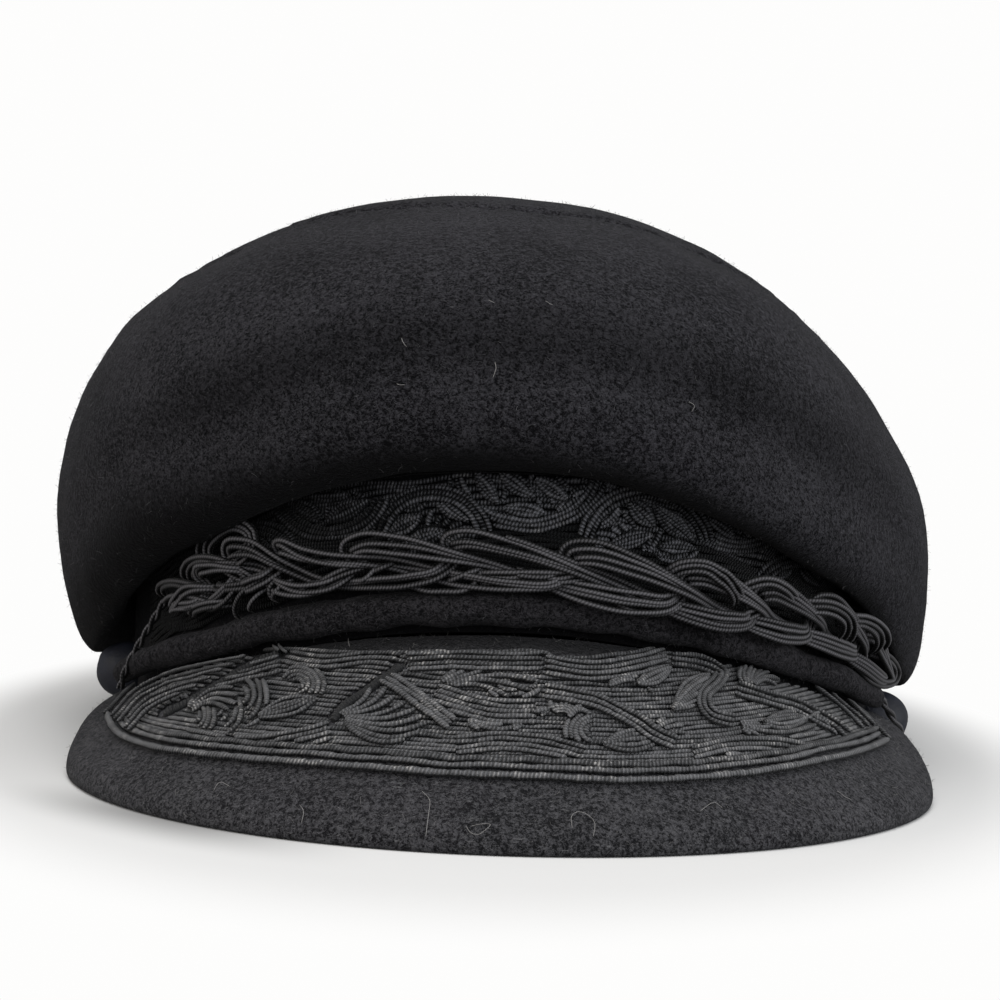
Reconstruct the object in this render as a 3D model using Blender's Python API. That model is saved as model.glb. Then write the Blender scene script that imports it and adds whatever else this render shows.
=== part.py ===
"""Greek fisherman cap: a soft wool crown on an arched band, with a peak, embroidery and a plaited cord.

Metres, +Z up. The forehead faces -Y, and +X is on the right of someone who looks at the front.
Places round the head are given by an angle: 0 degrees at the forehead, 90 at +X, 180 at the back.
The cap rests on the back of its band and on the front edge of its peak, both at z = 0.
"""
import math

import bpy
import bmesh
import numpy as np
from mathutils import Vector

# Head and band
HEAD_WIDTH = 0.158
HEAD_LENGTH = 0.196
BAND_WALL = 0.003
BAND_HEIGHT = 0.030
RIM_RISE = 0.032
RIM_FLAT_FROM = 0.020
RIM_CURVE = 1.7

# Crown
FELT = 0.0022
CROWN_HEIGHT = 0.1185
CROWN_OVERHANG = 0.019
CROWN_LEAN = -0.005
TIP_DOME = 2.3
SEAM_DEPTH = 0.0008
LIP_FOLD_SHARE = 0.38
LOW_UP = 0.092

# Peak
PEAK_WIDTH = 0.171
PEAK_REACH = 0.047
PEAK_THICKNESS = 0.0046
PEAK_EDGE_ROUND = 0.0028
PEAK_TOP_OVER_RIM = 0.0015
PEAK_ROOT_ANGLE = 62.0
PEAK_EDGE_ANGLE = 105.0
PEAK_CORNER_TUCK = 0.004
PEAK_CORNER_ANGLE = 74.0
PEAK_CAMBER = 0.0012

# Embroidered panels. The peak's panel is PEAK_PANEL_END wide where it comes to a point, and the
# border beside it narrows there by PEAK_BORDER_TAPER.
PANEL_RELIEF = 0.0012
PEAK_PANEL_ANGLE = 80.0
PEAK_PANEL_BORDER = 0.0118
PEAK_BORDER_TAPER = 0.32
PEAK_PANEL_START = 0.0062
PEAK_PANEL_END = 0.0028
FRONT_PANEL_ANGLE = 57.0
FRONT_PANEL_TOP_GAP = 0.0008

# Felt roll between the peak and the plait. It thins to ROLL_TAPER of its radius at the temples,
# where its last ROLL_END_SHARE closes down to ROLL_END.
ROLL_RADIUS = 0.0036
ROLL_LIFT = 0.0048
ROLL_ANGLE = 60.0
ROLL_TAPER = 0.64
ROLL_SINK = 0.18
ROLL_END_SHARE = 0.06
ROLL_END = 0.45

# Plait, whose strands swell from STRAND_TIP of their width over their first few steps
BRAID_HEIGHT = 0.0104
BRAID_DEPTH = 0.0066
STRAND_WIDTH = 0.0036
STRAND_DEPTH = 0.0024
STRAND_TIP = 0.45
STRAND_SWELL = 0.3

# Cord ends, which leave the plait ahead of its end and bow away from the band
TIE_DIAMETER = 0.0016
TIE_AHEAD = 0.0035
TIE_BOW = 0.0012

# Side buttons
BUTTON_DIAMETER = 0.0108
BUTTON_THICKNESS = 0.0066
BUTTON_ANGLE = 70.5
BUTTON_BACK_GAP = 0.0007

# Gap between pieces that touch
CLEARANCE = 0.0003

# How finely the pieces are divided
AROUND = 64
PEAK_SECTIONS = 41
PEAK_PANEL_SECTIONS = 33
PEAK_PANEL_POINTS = 5
FRONT_PANEL_SECTIONS = 31
ROLL_SECTIONS = 41
ROLL_SIDES = 8
BRAID_STEPS = 60
STRAND_SIDES = 6
TIE_SECTIONS = 9
BUTTON_SIDES = 12

# Upright sections of the crown, one row for each angle round the head. Each "out" is a distance
# beyond the band, as a share of CROWN_OVERHANG. lip_fall is how far the lip hangs below the band's
# top edge, as a share of BAND_HEIGHT, and each "up" a share of the height from the lip to the top.
CROWN_COLUMNS = (
    "angle", "lip_out", "lip_fall", "low_out", "wide_out", "wide_up",
    "shoulder_out", "shoulder_up", "seam_out", "seam_up",
)
CROWN_SECTIONS = (
    (-160, 0.45, 0.52, 0.78, 0.93, 0.29, 0.80, 0.45, 0.40, 0.58),
    (-128, 0.45, 0.54, 0.72, 0.90, 0.29, 0.70, 0.48, 0.25, 0.62),
    (-90, 0.42, 0.60, 0.57, 0.76, 0.33, 0.39, 0.55, -0.14, 0.69),
    (-65, 0.40, 0.58, 0.62, 0.79, 0.35, 0.36, 0.60, -0.42, 0.76),
    (-45, 0.42, 0.31, 0.71, 0.87, 0.33, 0.33, 0.64, -0.88, 0.82),
    (-25, 0.42, 0.06, 0.71, 0.91, 0.32, 0.30, 0.66, -1.42, 0.88),
    (0, 0.42, -0.04, 0.71, 0.90, 0.31, 0.16, 0.67, -1.74, 0.89),
    (25, 0.42, 0.12, 0.71, 0.91, 0.33, 0.22, 0.66, -1.52, 0.87),
    (45, 0.42, 0.32, 0.72, 0.88, 0.32, 0.26, 0.62, -1.02, 0.81),
    (65, 0.38, 0.60, 0.76, 0.83, 0.32, 0.28, 0.58, -0.57, 0.75),
    (90, 0.38, 0.65, 0.75, 0.82, 0.28, 0.32, 0.53, -0.24, 0.67),
    (128, 0.48, 0.54, 0.76, 0.90, 0.28, 0.66, 0.48, 0.22, 0.62),
    (160, 0.45, 0.52, 0.78, 0.93, 0.29, 0.80, 0.45, 0.40, 0.58),
)

# Soft dents in the crown: angle and up, a share of CROWN_HEIGHT, say where, wide in degrees and tall
# as a share of CROWN_HEIGHT how large, and depth how far in as a share of CROWN_OVERHANG.
DENT_COLUMNS = ("angle", "up", "wide", "tall", "depth")
DENTS = (
    (-20, 0.930, 7, 0.07, 0.10),
    (-46, 0.860, 9, 0.08, 0.12),
    (-72, 0.450, 16, 0.12, 0.07),
    (12, 0.930, 6, 0.06, 0.08),
    (36, 0.900, 8, 0.07, 0.11),
    (58, 0.700, 14, 0.14, 0.07),
    (-95, 0.250, 14, 0.10, 0.12),
    (150, 0.450, 20, 0.14, 0.10),
    (-140, 0.400, 18, 0.12, 0.10),
)

# Route of the plait over the band: up is the height over the rim as a share of BAND_HEIGHT, out
# how far it hangs forward as a share of BRAID_DEPTH, size a share of the plait's full size, and
# turns how many turns the strands have made about each other.
BRAID_COLUMNS = ("angle", "up", "out", "size", "turns")
BRAID_ROUTE = (
    (-42, 0.440, 0.00, 0.80, 0.28),
    (-35, 0.510, 0.00, 0.95, 0.59),
    (-28, 0.600, 0.00, 1.00, 1.05),
    (-20, 0.475, 0.00, 1.00, 1.40),
    (-12, 0.475, 0.00, 1.00, 1.65),
    (-4, 0.465, 0.15, 1.00, 1.92),
    (4, 0.430, 0.42, 1.00, 2.15),
    (12, 0.400, 0.62, 1.00, 2.38),
    (20, 0.380, 0.68, 1.00, 2.64),
    (30, 0.410, 0.50, 1.00, 3.03),
    (44, 0.430, 0.20, 0.95, 3.45),
    (53, 0.370, 0.12, 0.82, 3.70),
    (60, 0.310, 0.12, 0.68, 3.90),
)

# Side buttons: which side, and the height of the middle over the rim as a share of BAND_HEIGHT.
BUTTONS = (
    ("left", -1, 0.24),
    ("right", 1, 0.07),
)

# Outline of a button from its back to near its front: radius and depth as shares of its size.
BUTTON_PROFILE = ((0.78, 0.0), (1.0, 0.22), (0.94, 0.55), (0.62, 0.86))

HALF_WIDTH = HEAD_WIDTH / 2 + BAND_WALL
HALF_LENGTH = HEAD_LENGTH / 2 + BAND_WALL
PEAK_RADIUS = PEAK_WIDTH / 2
PEAK_CENTRE_Y = PEAK_RADIUS - HALF_LENGTH - PEAK_REACH
BRAID_OUT = PANEL_RELIEF + 2 * CLEARANCE + BRAID_DEPTH / 2


def clear_scene():
    for thing in list(bpy.data.objects):
        bpy.data.objects.remove(thing, do_unlink=True)


def curve_value(xs, ys, x):
    """Height at x of the smooth curve through the points (xs, ys)."""
    xs = np.asarray(xs, float)
    ys = np.asarray(ys, float)
    slopes = np.gradient(ys, xs)
    i = int(np.clip(np.searchsorted(xs, x) - 1, 0, len(xs) - 2))
    step = xs[i + 1] - xs[i]
    t = np.clip((x - xs[i]) / step, 0, 1)
    start = (1 + 2 * t) * (1 - t) ** 2 * ys[i] + t * (1 - t) ** 2 * step * slopes[i]
    end = t * t * (3 - 2 * t) * ys[i + 1] + t * t * (t - 1) * step * slopes[i + 1]
    return float(start + end)


def table_values(columns, rows, angle):
    """The named values of a table at an angle between its rows, whose first column is the angle."""
    angles = [row[0] for row in rows]
    return {
        name: curve_value(angles, [row[i] for row in rows], angle)
        for i, name in enumerate(columns) if name != "angle"
    }


def smooth_step(t):
    t = min(1.0, max(0.0, t))
    return t * t * (3 - 2 * t)


def band_radius(angle, inset=0.0):
    """Distance from the head's axis to the band's outer face, or inset inside it."""
    side = math.sin(math.radians(angle)) / (HALF_WIDTH - inset)
    fore = math.cos(math.radians(angle)) / (HALF_LENGTH - inset)
    return 1 / math.hypot(side, fore)


def rim_height(angle):
    """Height of the band's lower edge, which arches up over the forehead."""
    y = -band_radius(angle, BAND_WALL) * math.cos(math.radians(angle))
    share = (RIM_FLAT_FROM - y) / (RIM_FLAT_FROM + HEAD_LENGTH / 2)
    return RIM_RISE * max(0.0, share) ** RIM_CURVE


def at_band(angle, out, height):
    """Point beside the band, out beyond its outer face."""
    radius = band_radius(angle) + out
    turn = math.radians(angle)
    return Vector((radius * math.sin(turn), -radius * math.cos(turn), height))


def around_angles():
    return [360.0 * i / AROUND for i in range(AROUND)]


def make_object(name, mesh_data, material, smooth_angle=50.0):
    """Object of the name with the given vertices and faces, faces outwards, shaded smooth."""
    vertices, faces = mesh_data
    mesh = bpy.data.meshes.new(name)
    mesh.from_pydata([tuple(v) for v in vertices], [], faces)
    work = bmesh.new()
    work.from_mesh(mesh)
    bmesh.ops.triangulate(work, faces=[f for f in work.faces if len(f.verts) > 4])
    bmesh.ops.recalc_face_normals(work, faces=work.faces)
    work.to_mesh(mesh)
    work.free()
    mesh.shade_smooth()
    mesh.set_sharp_from_angle(angle=math.radians(smooth_angle))
    mesh.materials.append(material)
    made = bpy.data.objects.new(name, mesh)
    bpy.context.scene.collection.objects.link(made)
    return made


def make_material(name, colour, roughness):
    material = bpy.data.materials.new(name)
    material.use_nodes = True
    shader = material.node_tree.nodes["Principled BSDF"]
    shader.inputs["Base Color"].default_value = (*colour, 1.0)
    shader.inputs["Roughness"].default_value = roughness
    shader.inputs["Metallic"].default_value = 0.0
    return material


def ring_faces(rows, count, first=0, closed=True):
    """Faces between rows of count points each, where each row is a ring."""
    faces = []
    steps = rows if closed else rows - 1
    for row in range(steps):
        below = first + row * count
        above = first + ((row + 1) % rows) * count
        for i in range(count):
            j = (i + 1) % count
            faces.append((below + i, below + j, above + j, above + i))
    return faces


def loft(sections):
    """Closed body through sections that are loops of as many points each, with flat ends."""
    count = len(sections[0])
    vertices = [point for section in sections for point in section]
    faces = []
    for row in range(len(sections) - 1):
        for i in range(count):
            j = (i + 1) % count
            faces.append((row * count + i, row * count + j, (row + 1) * count + j, (row + 1) * count + i))
    last = (len(sections) - 1) * count
    faces.append(tuple(range(count - 1, -1, -1)))
    faces.append(tuple(range(last, last + count)))
    return vertices, faces


def tube_sections(points, outs, wide, deep, sides):
    """Loops round a path: wide across outs and upwards, deep along outs, one value for each point."""
    sections = []
    for i, point in enumerate(points):
        ahead = points[min(i + 1, len(points) - 1)] - points[max(i - 1, 0)]
        ahead.normalize()
        out = (outs[i] - ahead * outs[i].dot(ahead)).normalized()
        across = ahead.cross(out)
        loop = []
        for k in range(sides):
            turn = 2 * math.pi * k / sides
            sideways = across * (wide[i] / 2 * math.cos(turn))
            loop.append(point + sideways + out * (deep[i] / 2 * math.sin(turn)))
        sections.append(loop)
    return sections


def crown_stations(angle):
    """Places on the crown's outer surface from the band's top edge to the top seam, out and up."""
    rows = [(row[0] + turn, *row[1:]) for turn in (-360, 0, 360) for row in CROWN_SECTIONS]
    shares = table_values(CROWN_COLUMNS, rows, angle)
    start = rim_height(angle) + BAND_HEIGHT + CLEARANCE
    lip_out = shares["lip_out"] * CROWN_OVERHANG
    lip_up = start - shares["lip_fall"] * BAND_HEIGHT
    stations = [
        (CLEARANCE - BAND_WALL, start),
        (PANEL_RELIEF + 3 * CLEARANCE, start),
        (lip_out * LIP_FOLD_SHARE, (start + lip_up) / 2),
        (lip_out, lip_up),
    ]
    for name in ("low", "wide", "shoulder", "seam"):
        out = shares[name + "_out"] * CROWN_OVERHANG
        up = lip_up + shares.get(name + "_up", LOW_UP) * (CROWN_HEIGHT - lip_up)
        stations.append((out, up))
    return stations


def dent_depth(angle, up):
    """How far the dents push the crown in at one place."""
    depth = 0.0
    for values in DENTS:
        dent = dict(zip(DENT_COLUMNS, values))
        turn = (angle - dent["angle"] + 180) % 360 - 180
        away = (turn / dent["wide"]) ** 2 + ((up / CROWN_HEIGHT - dent["up"]) / dent["tall"]) ** 2
        depth += dent["depth"] * CROWN_OVERHANG * math.exp(-away)
    return depth


def crown_point(angle, out, up, free):
    """Point of the crown. Where it hangs free of the band it is dented and leans to one side."""
    place = at_band(angle, out - dent_depth(angle, up) * free, up)
    place.x += CROWN_LEAN * free
    return place


# Where the crown's sections have points: along their stations, and from the seam to the pole
SIDE_STEPS = (0, 1, 1.5, 2, 2.5, 3, 3.4, 3.8, 4.3, 4.8, 5.3, 5.8, 6.3, 6.7, 7)
TIP_STEPS = (0.12, 0.28, 0.46, 0.66, 0.84)


def crown_surface():
    """Rings of the crown's outer surface, from the band to near the pole, and the seam's ring."""
    knots = np.arange(8.0)
    columns = []
    for angle in around_angles():
        stations = crown_stations(angle)
        outs = [s[0] for s in stations]
        ups = [s[1] for s in stations]
        column = []
        for step in SIDE_STEPS:
            out = curve_value(knots, outs, step)
            up = curve_value(knots, ups, step)
            if step == SIDE_STEPS[-1]:
                out -= SEAM_DEPTH
            column.append(crown_point(angle, out, up, smooth_step((step - 2.5) / 2.5)))
        seam_out = outs[-1]
        seam_up = ups[-1]
        for step in TIP_STEPS:
            radius = (band_radius(angle) + seam_out) * (1 - step)
            up = seam_up + (CROWN_HEIGHT - seam_up) * (1 - (1 - step) ** TIP_DOME)
            column.append(crown_point(angle, radius - band_radius(angle), up, 1.0))
        columns.append(column)
    return np.array(columns).transpose(1, 0, 2)


def surface_normals(rings, pole):
    """Outward directions at the points of rings that close on a pole."""
    full = np.concatenate([rings, np.repeat(pole[None, None, :], rings.shape[1], axis=1)])
    along = np.gradient(full, axis=0)[:-1]
    across = np.roll(rings, -1, axis=1) - np.roll(rings, 1, axis=1)
    normals = np.cross(across, along)
    return normals / np.linalg.norm(normals, axis=2)[:, :, None]


def build_crown(felt_side, felt_tip):
    rings = crown_surface()
    seam = len(SIDE_STEPS) - 1
    pole = np.array((CROWN_LEAN, 0.0, CROWN_HEIGHT))
    normals = surface_normals(rings, pole)
    along = rings[seam + 1] - rings[seam]
    along /= np.linalg.norm(along, axis=1)[:, None]
    count = rings.shape[1]

    outer = rings[:seam + 1].copy()
    outer[seam] -= along * CLEARANCE / 2
    inner = outer - normals[:seam + 1] * FELT
    rows = np.concatenate([outer, inner[::-1]])
    side = (rows.reshape(-1, 3), ring_faces(len(rows), count))
    make_object("crown_side", side, felt_side)

    outer = rings[seam:].copy()
    outer[0] += along * CLEARANCE / 2
    inner = outer - normals[seam:] * FELT
    rows = np.concatenate([inner[::-1], outer])
    faces = ring_faces(len(rows), count, closed=False)
    vertices = list(rows.reshape(-1, 3))
    vertices.append(pole - np.array((0, 0, FELT)))
    vertices.append(pole)
    last = (len(rows) - 1) * count
    for i in range(count):
        j = (i + 1) % count
        faces.append((j, i, len(vertices) - 2))
        faces.append((last + i, last + j, len(vertices) - 1))
    make_object("crown_tip", (vertices, faces), felt_tip)


def build_band(felt):
    rings = [[], [], [], []]
    for angle in around_angles():
        low = rim_height(angle)
        high = low + BAND_HEIGHT
        thin = band_radius(angle, BAND_WALL) - band_radius(angle)
        rings[0].append(at_band(angle, 0.0, low))
        rings[1].append(at_band(angle, 0.0, high))
        rings[2].append(at_band(angle, thin, high))
        rings[3].append(at_band(angle, thin, low))
    vertices = [point for ring in rings for point in ring]
    make_object("band", (vertices, ring_faces(4, AROUND)), felt, smooth_angle=40)


def build_roll(felt):
    """Soft felt roll along the foot of the band's front, thinner towards the temples."""
    points = []
    outs = []
    wide = []
    for i in range(ROLL_SECTIONS):
        share = 2 * i / (ROLL_SECTIONS - 1) - 1
        angle = ROLL_ANGLE * share
        radius = ROLL_RADIUS * (1 - (1 - ROLL_TAPER) * share * share)
        ending = smooth_step((abs(share) - 1 + ROLL_END_SHARE) / ROLL_END_SHARE)
        radius *= 1 - (1 - ROLL_END) * ending
        lift = ROLL_LIFT * (1 - ROLL_SINK * share * share)
        points.append(at_band(angle, radius + CLEARANCE, rim_height(angle) + lift))
        outs.append(at_band(angle, 1.0, 0.0) - at_band(angle, 0.0, 0.0))
        wide.append(2 * radius)
    make_object("band_roll", loft(tube_sections(points, outs, wide, wide, ROLL_SIDES)), felt)


def peak_corner(angle):
    """0 along the peak's front, up to 1 at the end of its edge."""
    return smooth_step((abs(angle) - PEAK_CORNER_ANGLE) / (PEAK_EDGE_ANGLE - PEAK_CORNER_ANGLE))


def peak_half_thickness(gap):
    """Half the peak's upright thickness at a distance in from its edge."""
    share = min(1.0, gap / PEAK_EDGE_ROUND)
    return PEAK_THICKNESS / 2 * math.sqrt(1 - (1 - share) ** 2)


def peak_steps(length):
    """Shares from the root to the edge at which a section of the peak has its points."""
    body = 1 - PEAK_EDGE_ROUND / length
    shares = [body * share for share in (0, 0.25, 0.5, 0.75, 1)]
    shares += [1 - PEAK_EDGE_ROUND * gap / length for gap in (0.6, 0.25, 0.06)]
    return shares


class PeakSection:
    """One section of the peak, from its root at the band to its outer edge."""

    def __init__(self, angle):
        root_angle = angle * PEAK_ROOT_ANGLE / PEAK_EDGE_ANGLE
        half = PEAK_THICKNESS / 2
        height = rim_height(root_angle) + PEAK_TOP_OVER_RIM - half
        self.root = at_band(root_angle, CLEARANCE, height)
        turn = math.radians(angle)
        radius = PEAK_RADIUS - PEAK_CORNER_TUCK * peak_corner(angle)
        self.edge = Vector((radius * math.sin(turn), PEAK_CENTRE_Y - radius * math.cos(turn), 0.0))
        self.length = (self.edge.xy - self.root.xy).length
        lie = max(
            (peak_half_thickness((1 - s) * self.length) - self.camber(s) - (1 - s) * self.root.z) / s
            for s in peak_steps(self.length)[2:]
        )
        self.edge.z = lie + (self.root.z - half / 2 - lie) * peak_corner(angle)

    def camber(self, share):
        return PEAK_CAMBER * 4 * share * (1 - share)

    def middle(self, share):
        point = self.root.lerp(self.edge, share)
        point.z += self.camber(share)
        return point

    def surface(self, share, over=0.0):
        """Point on the upper surface, or over it."""
        point = self.middle(share)
        point.z += peak_half_thickness((1 - share) * self.length) + over
        return point

    def loop(self):
        steps = peak_steps(self.length)
        top = [self.surface(share) for share in steps]
        under = []
        for share in steps:
            point = self.middle(share)
            point.z -= peak_half_thickness((1 - share) * self.length)
            under.append(point)
        return top + [self.middle(1.0)] + under[::-1]


def build_peak(felt):
    sections = []
    for i in range(PEAK_SECTIONS):
        angle = PEAK_EDGE_ANGLE * (2 * i / (PEAK_SECTIONS - 1) - 1)
        sections.append(PeakSection(angle).loop())
    make_object("peak", loft(sections), felt)


def build_peak_panel(cord):
    """Raised panel over the peak, which leaves a felt border along the outer edge."""
    sections = []
    for i in range(PEAK_PANEL_SECTIONS):
        share = 2 * i / (PEAK_PANEL_SECTIONS - 1) - 1
        section = PeakSection(PEAK_PANEL_ANGLE * share)
        border = PEAK_PANEL_BORDER * (1 - PEAK_BORDER_TAPER * share * share)
        last = 1 - border / section.length
        first = PEAK_PANEL_START / section.length
        first += (last - PEAK_PANEL_END / section.length - first) * abs(share) ** 5
        steps = np.linspace(first, last, PEAK_PANEL_POINTS)
        top = [section.surface(s, CLEARANCE + PANEL_RELIEF) for s in steps]
        under = [section.surface(s, CLEARANCE) for s in steps]
        sections.append(top + under[::-1])
    make_object("peak_embroidery", loft(sections), cord)


def build_front_panel(cord):
    """Raised panel on the band's front, from the roll up to the crown's lip."""
    sections = []
    for i in range(FRONT_PANEL_SECTIONS):
        share = 2 * i / (FRONT_PANEL_SECTIONS - 1) - 1
        angle = FRONT_PANEL_ANGLE * share
        low = rim_height(angle) + ROLL_LIFT + ROLL_RADIUS + CLEARANCE
        high = rim_height(angle) + BAND_HEIGHT - FRONT_PANEL_TOP_GAP
        near = CLEARANCE
        far = CLEARANCE + PANEL_RELIEF
        sections.append([
            at_band(angle, near, low), at_band(angle, near, high),
            at_band(angle, far, high), at_band(angle, far, low),
        ])
    make_object("front_embroidery", loft(sections), cord)


def braid_path(share):
    """Middle of the plait at a share of its way from the left end, the way out, size and turns."""
    first = BRAID_ROUTE[0][0]
    last = BRAID_ROUTE[-1][0]
    angle = first + (last - first) * share
    route = table_values(BRAID_COLUMNS, BRAID_ROUTE, angle)
    height = rim_height(angle) + route["up"] * BAND_HEIGHT
    point = at_band(angle, BRAID_OUT + route["out"] * BRAID_DEPTH, height)
    outward = (at_band(angle, 1.0, 0.0) - at_band(angle, 0.0, 0.0)).normalized()
    return point, outward, route["size"], route["turns"]


def strand_point(strand, share):
    """Middle of one of the three strands, which weave over and under each other."""
    point, out, size, turns = braid_path(share)
    ahead = (braid_path(share + 0.001)[0] - braid_path(share - 0.001)[0]).normalized()
    across = ahead.cross(out)
    turn = 2 * math.pi * (turns + strand / 3)
    rise = size * (BRAID_HEIGHT - STRAND_WIDTH) / 2 * math.sin(turn)
    depth = -size * (BRAID_DEPTH - STRAND_DEPTH) / 2 * math.sin(2 * turn)
    return point - across * rise + out * depth, out, size


def build_braid(cord):
    steps = range(BRAID_STEPS + 1)
    for strand in range(3):
        places = [strand_point(strand, i / BRAID_STEPS) for i in steps]
        points = [place[0] for place in places]
        outs = [place[1] for place in places]
        swell = [min(1.0, STRAND_TIP + min(i, BRAID_STEPS - i) * STRAND_SWELL) for i in steps]
        sizes = [place[2] * share for place, share in zip(places, swell)]
        wide = [STRAND_WIDTH * size for size in sizes]
        deep = [STRAND_DEPTH * size for size in sizes]
        sections = tube_sections(points, outs, wide, deep, STRAND_SIDES)
        make_object("braid_strand_%d" % (strand + 1), loft(sections), cord)


def button_seat(side, up):
    """Middle of a button's back on the band, and the way out."""
    angle = side * BUTTON_ANGLE
    height = rim_height(angle) + up * BAND_HEIGHT
    middle = at_band(angle, 0.0, height)
    ahead = at_band(angle + 1, 0.0, height) - at_band(angle - 1, 0.0, height)
    out = ahead.cross(Vector((0, 0, 1))).normalized()
    return middle, out


def build_buttons(cloth):
    """Small domed buttons on the band at the temples."""
    rise = Vector((0, 0, 1))
    for name, side, up in BUTTONS:
        middle, out = button_seat(side, up)
        along = out.cross(rise).normalized()
        back = middle + out * BUTTON_BACK_GAP
        vertices = []
        for radius, depth in BUTTON_PROFILE:
            for k in range(BUTTON_SIDES):
                turn = 2 * math.pi * k / BUTTON_SIDES
                spoke = along * math.cos(turn) + rise * math.sin(turn)
                spoke *= radius * BUTTON_DIAMETER / 2
                vertices.append(back + spoke + out * (depth * BUTTON_THICKNESS))
        faces = ring_faces(len(BUTTON_PROFILE), BUTTON_SIDES, closed=False)
        vertices.append(back)
        vertices.append(back + out * BUTTON_THICKNESS)
        last = (len(BUTTON_PROFILE) - 1) * BUTTON_SIDES
        for k in range(BUTTON_SIDES):
            j = (k + 1) % BUTTON_SIDES
            faces.append((j, k, len(vertices) - 2))
            faces.append((last + k, last + j, len(vertices) - 1))
        make_object("side_button_" + name, (vertices, faces), cloth)


def build_ties(cord):
    """Thin cord ends that run from the plait's ends to the buttons."""
    for name, side, up in BUTTONS:
        middle, out = button_seat(side, up)
        end_share = 0.0 if side < 0 else 1.0
        start = braid_path(end_share)[0]
        start += (start - braid_path(abs(end_share - 0.01))[0]).normalized() * TIE_AHEAD
        rim = middle + out * (BUTTON_THICKNESS * 0.35)
        toward = (start - rim).normalized()
        finish = rim + toward * (BUTTON_DIAMETER / 2 + TIE_DIAMETER / 2 + CLEARANCE)
        points = []
        for share in np.linspace(0, 1, TIE_SECTIONS):
            bow = math.sin(math.pi * share) * TIE_BOW
            points.append(start.lerp(finish, share) + out * bow)
        outs = [out] * TIE_SECTIONS
        wide = [TIE_DIAMETER] * TIE_SECTIONS
        sections = tube_sections(points, outs, wide, wide, STRAND_SIDES)
        make_object("braid_tie_" + name, loft(sections), cord)


def stand_on_footprint():
    """Puts the middle of the whole cap's footprint over the origin."""
    corners = [thing.matrix_world @ Vector(c) for thing in bpy.data.objects for c in thing.bound_box]
    low = Vector([min(corner[i] for corner in corners) for i in range(3)])
    high = Vector([max(corner[i] for corner in corners) for i in range(3)])
    for thing in bpy.data.objects:
        thing.location = (-(low.x + high.x) / 2, -(low.y + high.y) / 2, -low.z)


def main():
    clear_scene()
    crown_felt = make_material("crown_felt", (0.022, 0.021, 0.023), 0.95)
    tip_felt = make_material("tip_felt", (0.024, 0.023, 0.026), 0.95)
    band_felt = make_material("band_felt", (0.012, 0.012, 0.013), 0.95)
    roll_felt = make_material("roll_felt", (0.014, 0.013, 0.015), 0.95)
    peak_felt = make_material("peak_felt", (0.026, 0.026, 0.028), 0.93)
    peak_cord = make_material("peak_cord", (0.045, 0.045, 0.047), 0.6)
    front_cord = make_material("front_cord", (0.030, 0.030, 0.033), 0.65)
    plait_cord = make_material("plait_cord", (0.020, 0.020, 0.022), 0.5)
    tie_cord = make_material("tie_cord", (0.018, 0.018, 0.020), 0.5)
    button_cloth = make_material("button_cloth", (0.012, 0.014, 0.024), 0.4)
    build_crown(crown_felt, tip_felt)
    build_band(band_felt)
    build_roll(roll_felt)
    build_peak(peak_felt)
    build_peak_panel(peak_cord)
    build_front_panel(front_cord)
    build_braid(plait_cord)
    build_ties(tie_cord)
    build_buttons(button_cloth)
    bpy.context.view_layer.update()
    stand_on_footprint()


if __name__ == "__main__":
    main()
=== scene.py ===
"""Looks of a Greek fisherman cap: wool felt, couched cord embroidery and a plait of thin cords.

Metres, +Z up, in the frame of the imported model. The forehead faces -Y, and +X is on the right of
someone who looks at the front. Angles round the head are 0 at the forehead and 90 degrees at +X.
Embroidery and loose cords are placed by their places in the photograph, which is 1000 by 1000, and
each point is carried along the camera's ray to the surface that holds it.
"""
import math

import bmesh
import bpy
import numpy as np
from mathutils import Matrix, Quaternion, Vector
from mathutils.bvhtree import BVHTree
from mathutils.kdtree import KDTree


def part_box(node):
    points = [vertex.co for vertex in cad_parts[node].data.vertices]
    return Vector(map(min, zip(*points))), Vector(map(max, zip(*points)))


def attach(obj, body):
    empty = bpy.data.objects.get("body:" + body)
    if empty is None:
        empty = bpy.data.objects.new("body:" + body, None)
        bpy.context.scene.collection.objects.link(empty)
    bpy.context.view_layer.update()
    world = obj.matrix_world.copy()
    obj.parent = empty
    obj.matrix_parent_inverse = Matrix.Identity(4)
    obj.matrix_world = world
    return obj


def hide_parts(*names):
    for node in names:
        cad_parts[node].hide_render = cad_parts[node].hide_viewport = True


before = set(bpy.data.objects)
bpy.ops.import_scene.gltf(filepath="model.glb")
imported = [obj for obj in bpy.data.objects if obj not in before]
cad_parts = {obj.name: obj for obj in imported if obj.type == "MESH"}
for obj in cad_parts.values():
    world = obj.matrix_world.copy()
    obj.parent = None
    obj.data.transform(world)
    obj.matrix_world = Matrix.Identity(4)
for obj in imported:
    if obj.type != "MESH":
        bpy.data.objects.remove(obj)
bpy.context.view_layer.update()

bl_info = {
    "name": "Fisherman cap dressing",
    "version": (1, 0, 0),
    "blender": (4, 5, 0),
    "location": "3D View > Sidebar > Cap",
    "description": "Dresses the cap's solids in felt, couched cord and a plait, and sets up the stage",
    "category": "Object",
}

ROOT = "root"
BAND_LOW, BAND_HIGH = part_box("band")
HEAD_CENTRE = Vector(((BAND_LOW.x + BAND_HIGH.x) / 2, (BAND_LOW.y + BAND_HIGH.y) / 2, 0.0))

# The band's outer outline and the arch of its lower edge, as the solids have them
HALF_WIDTH = (BAND_HIGH.x - BAND_LOW.x) / 2
HALF_LENGTH = (BAND_HIGH.y - BAND_LOW.y) / 2
BAND_WALL = 0.003
BAND_HEIGHT = 0.030
RIM_RISE = 0.032
RIM_FLAT_FROM = 0.020
RIM_CURVE = 1.7

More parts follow.
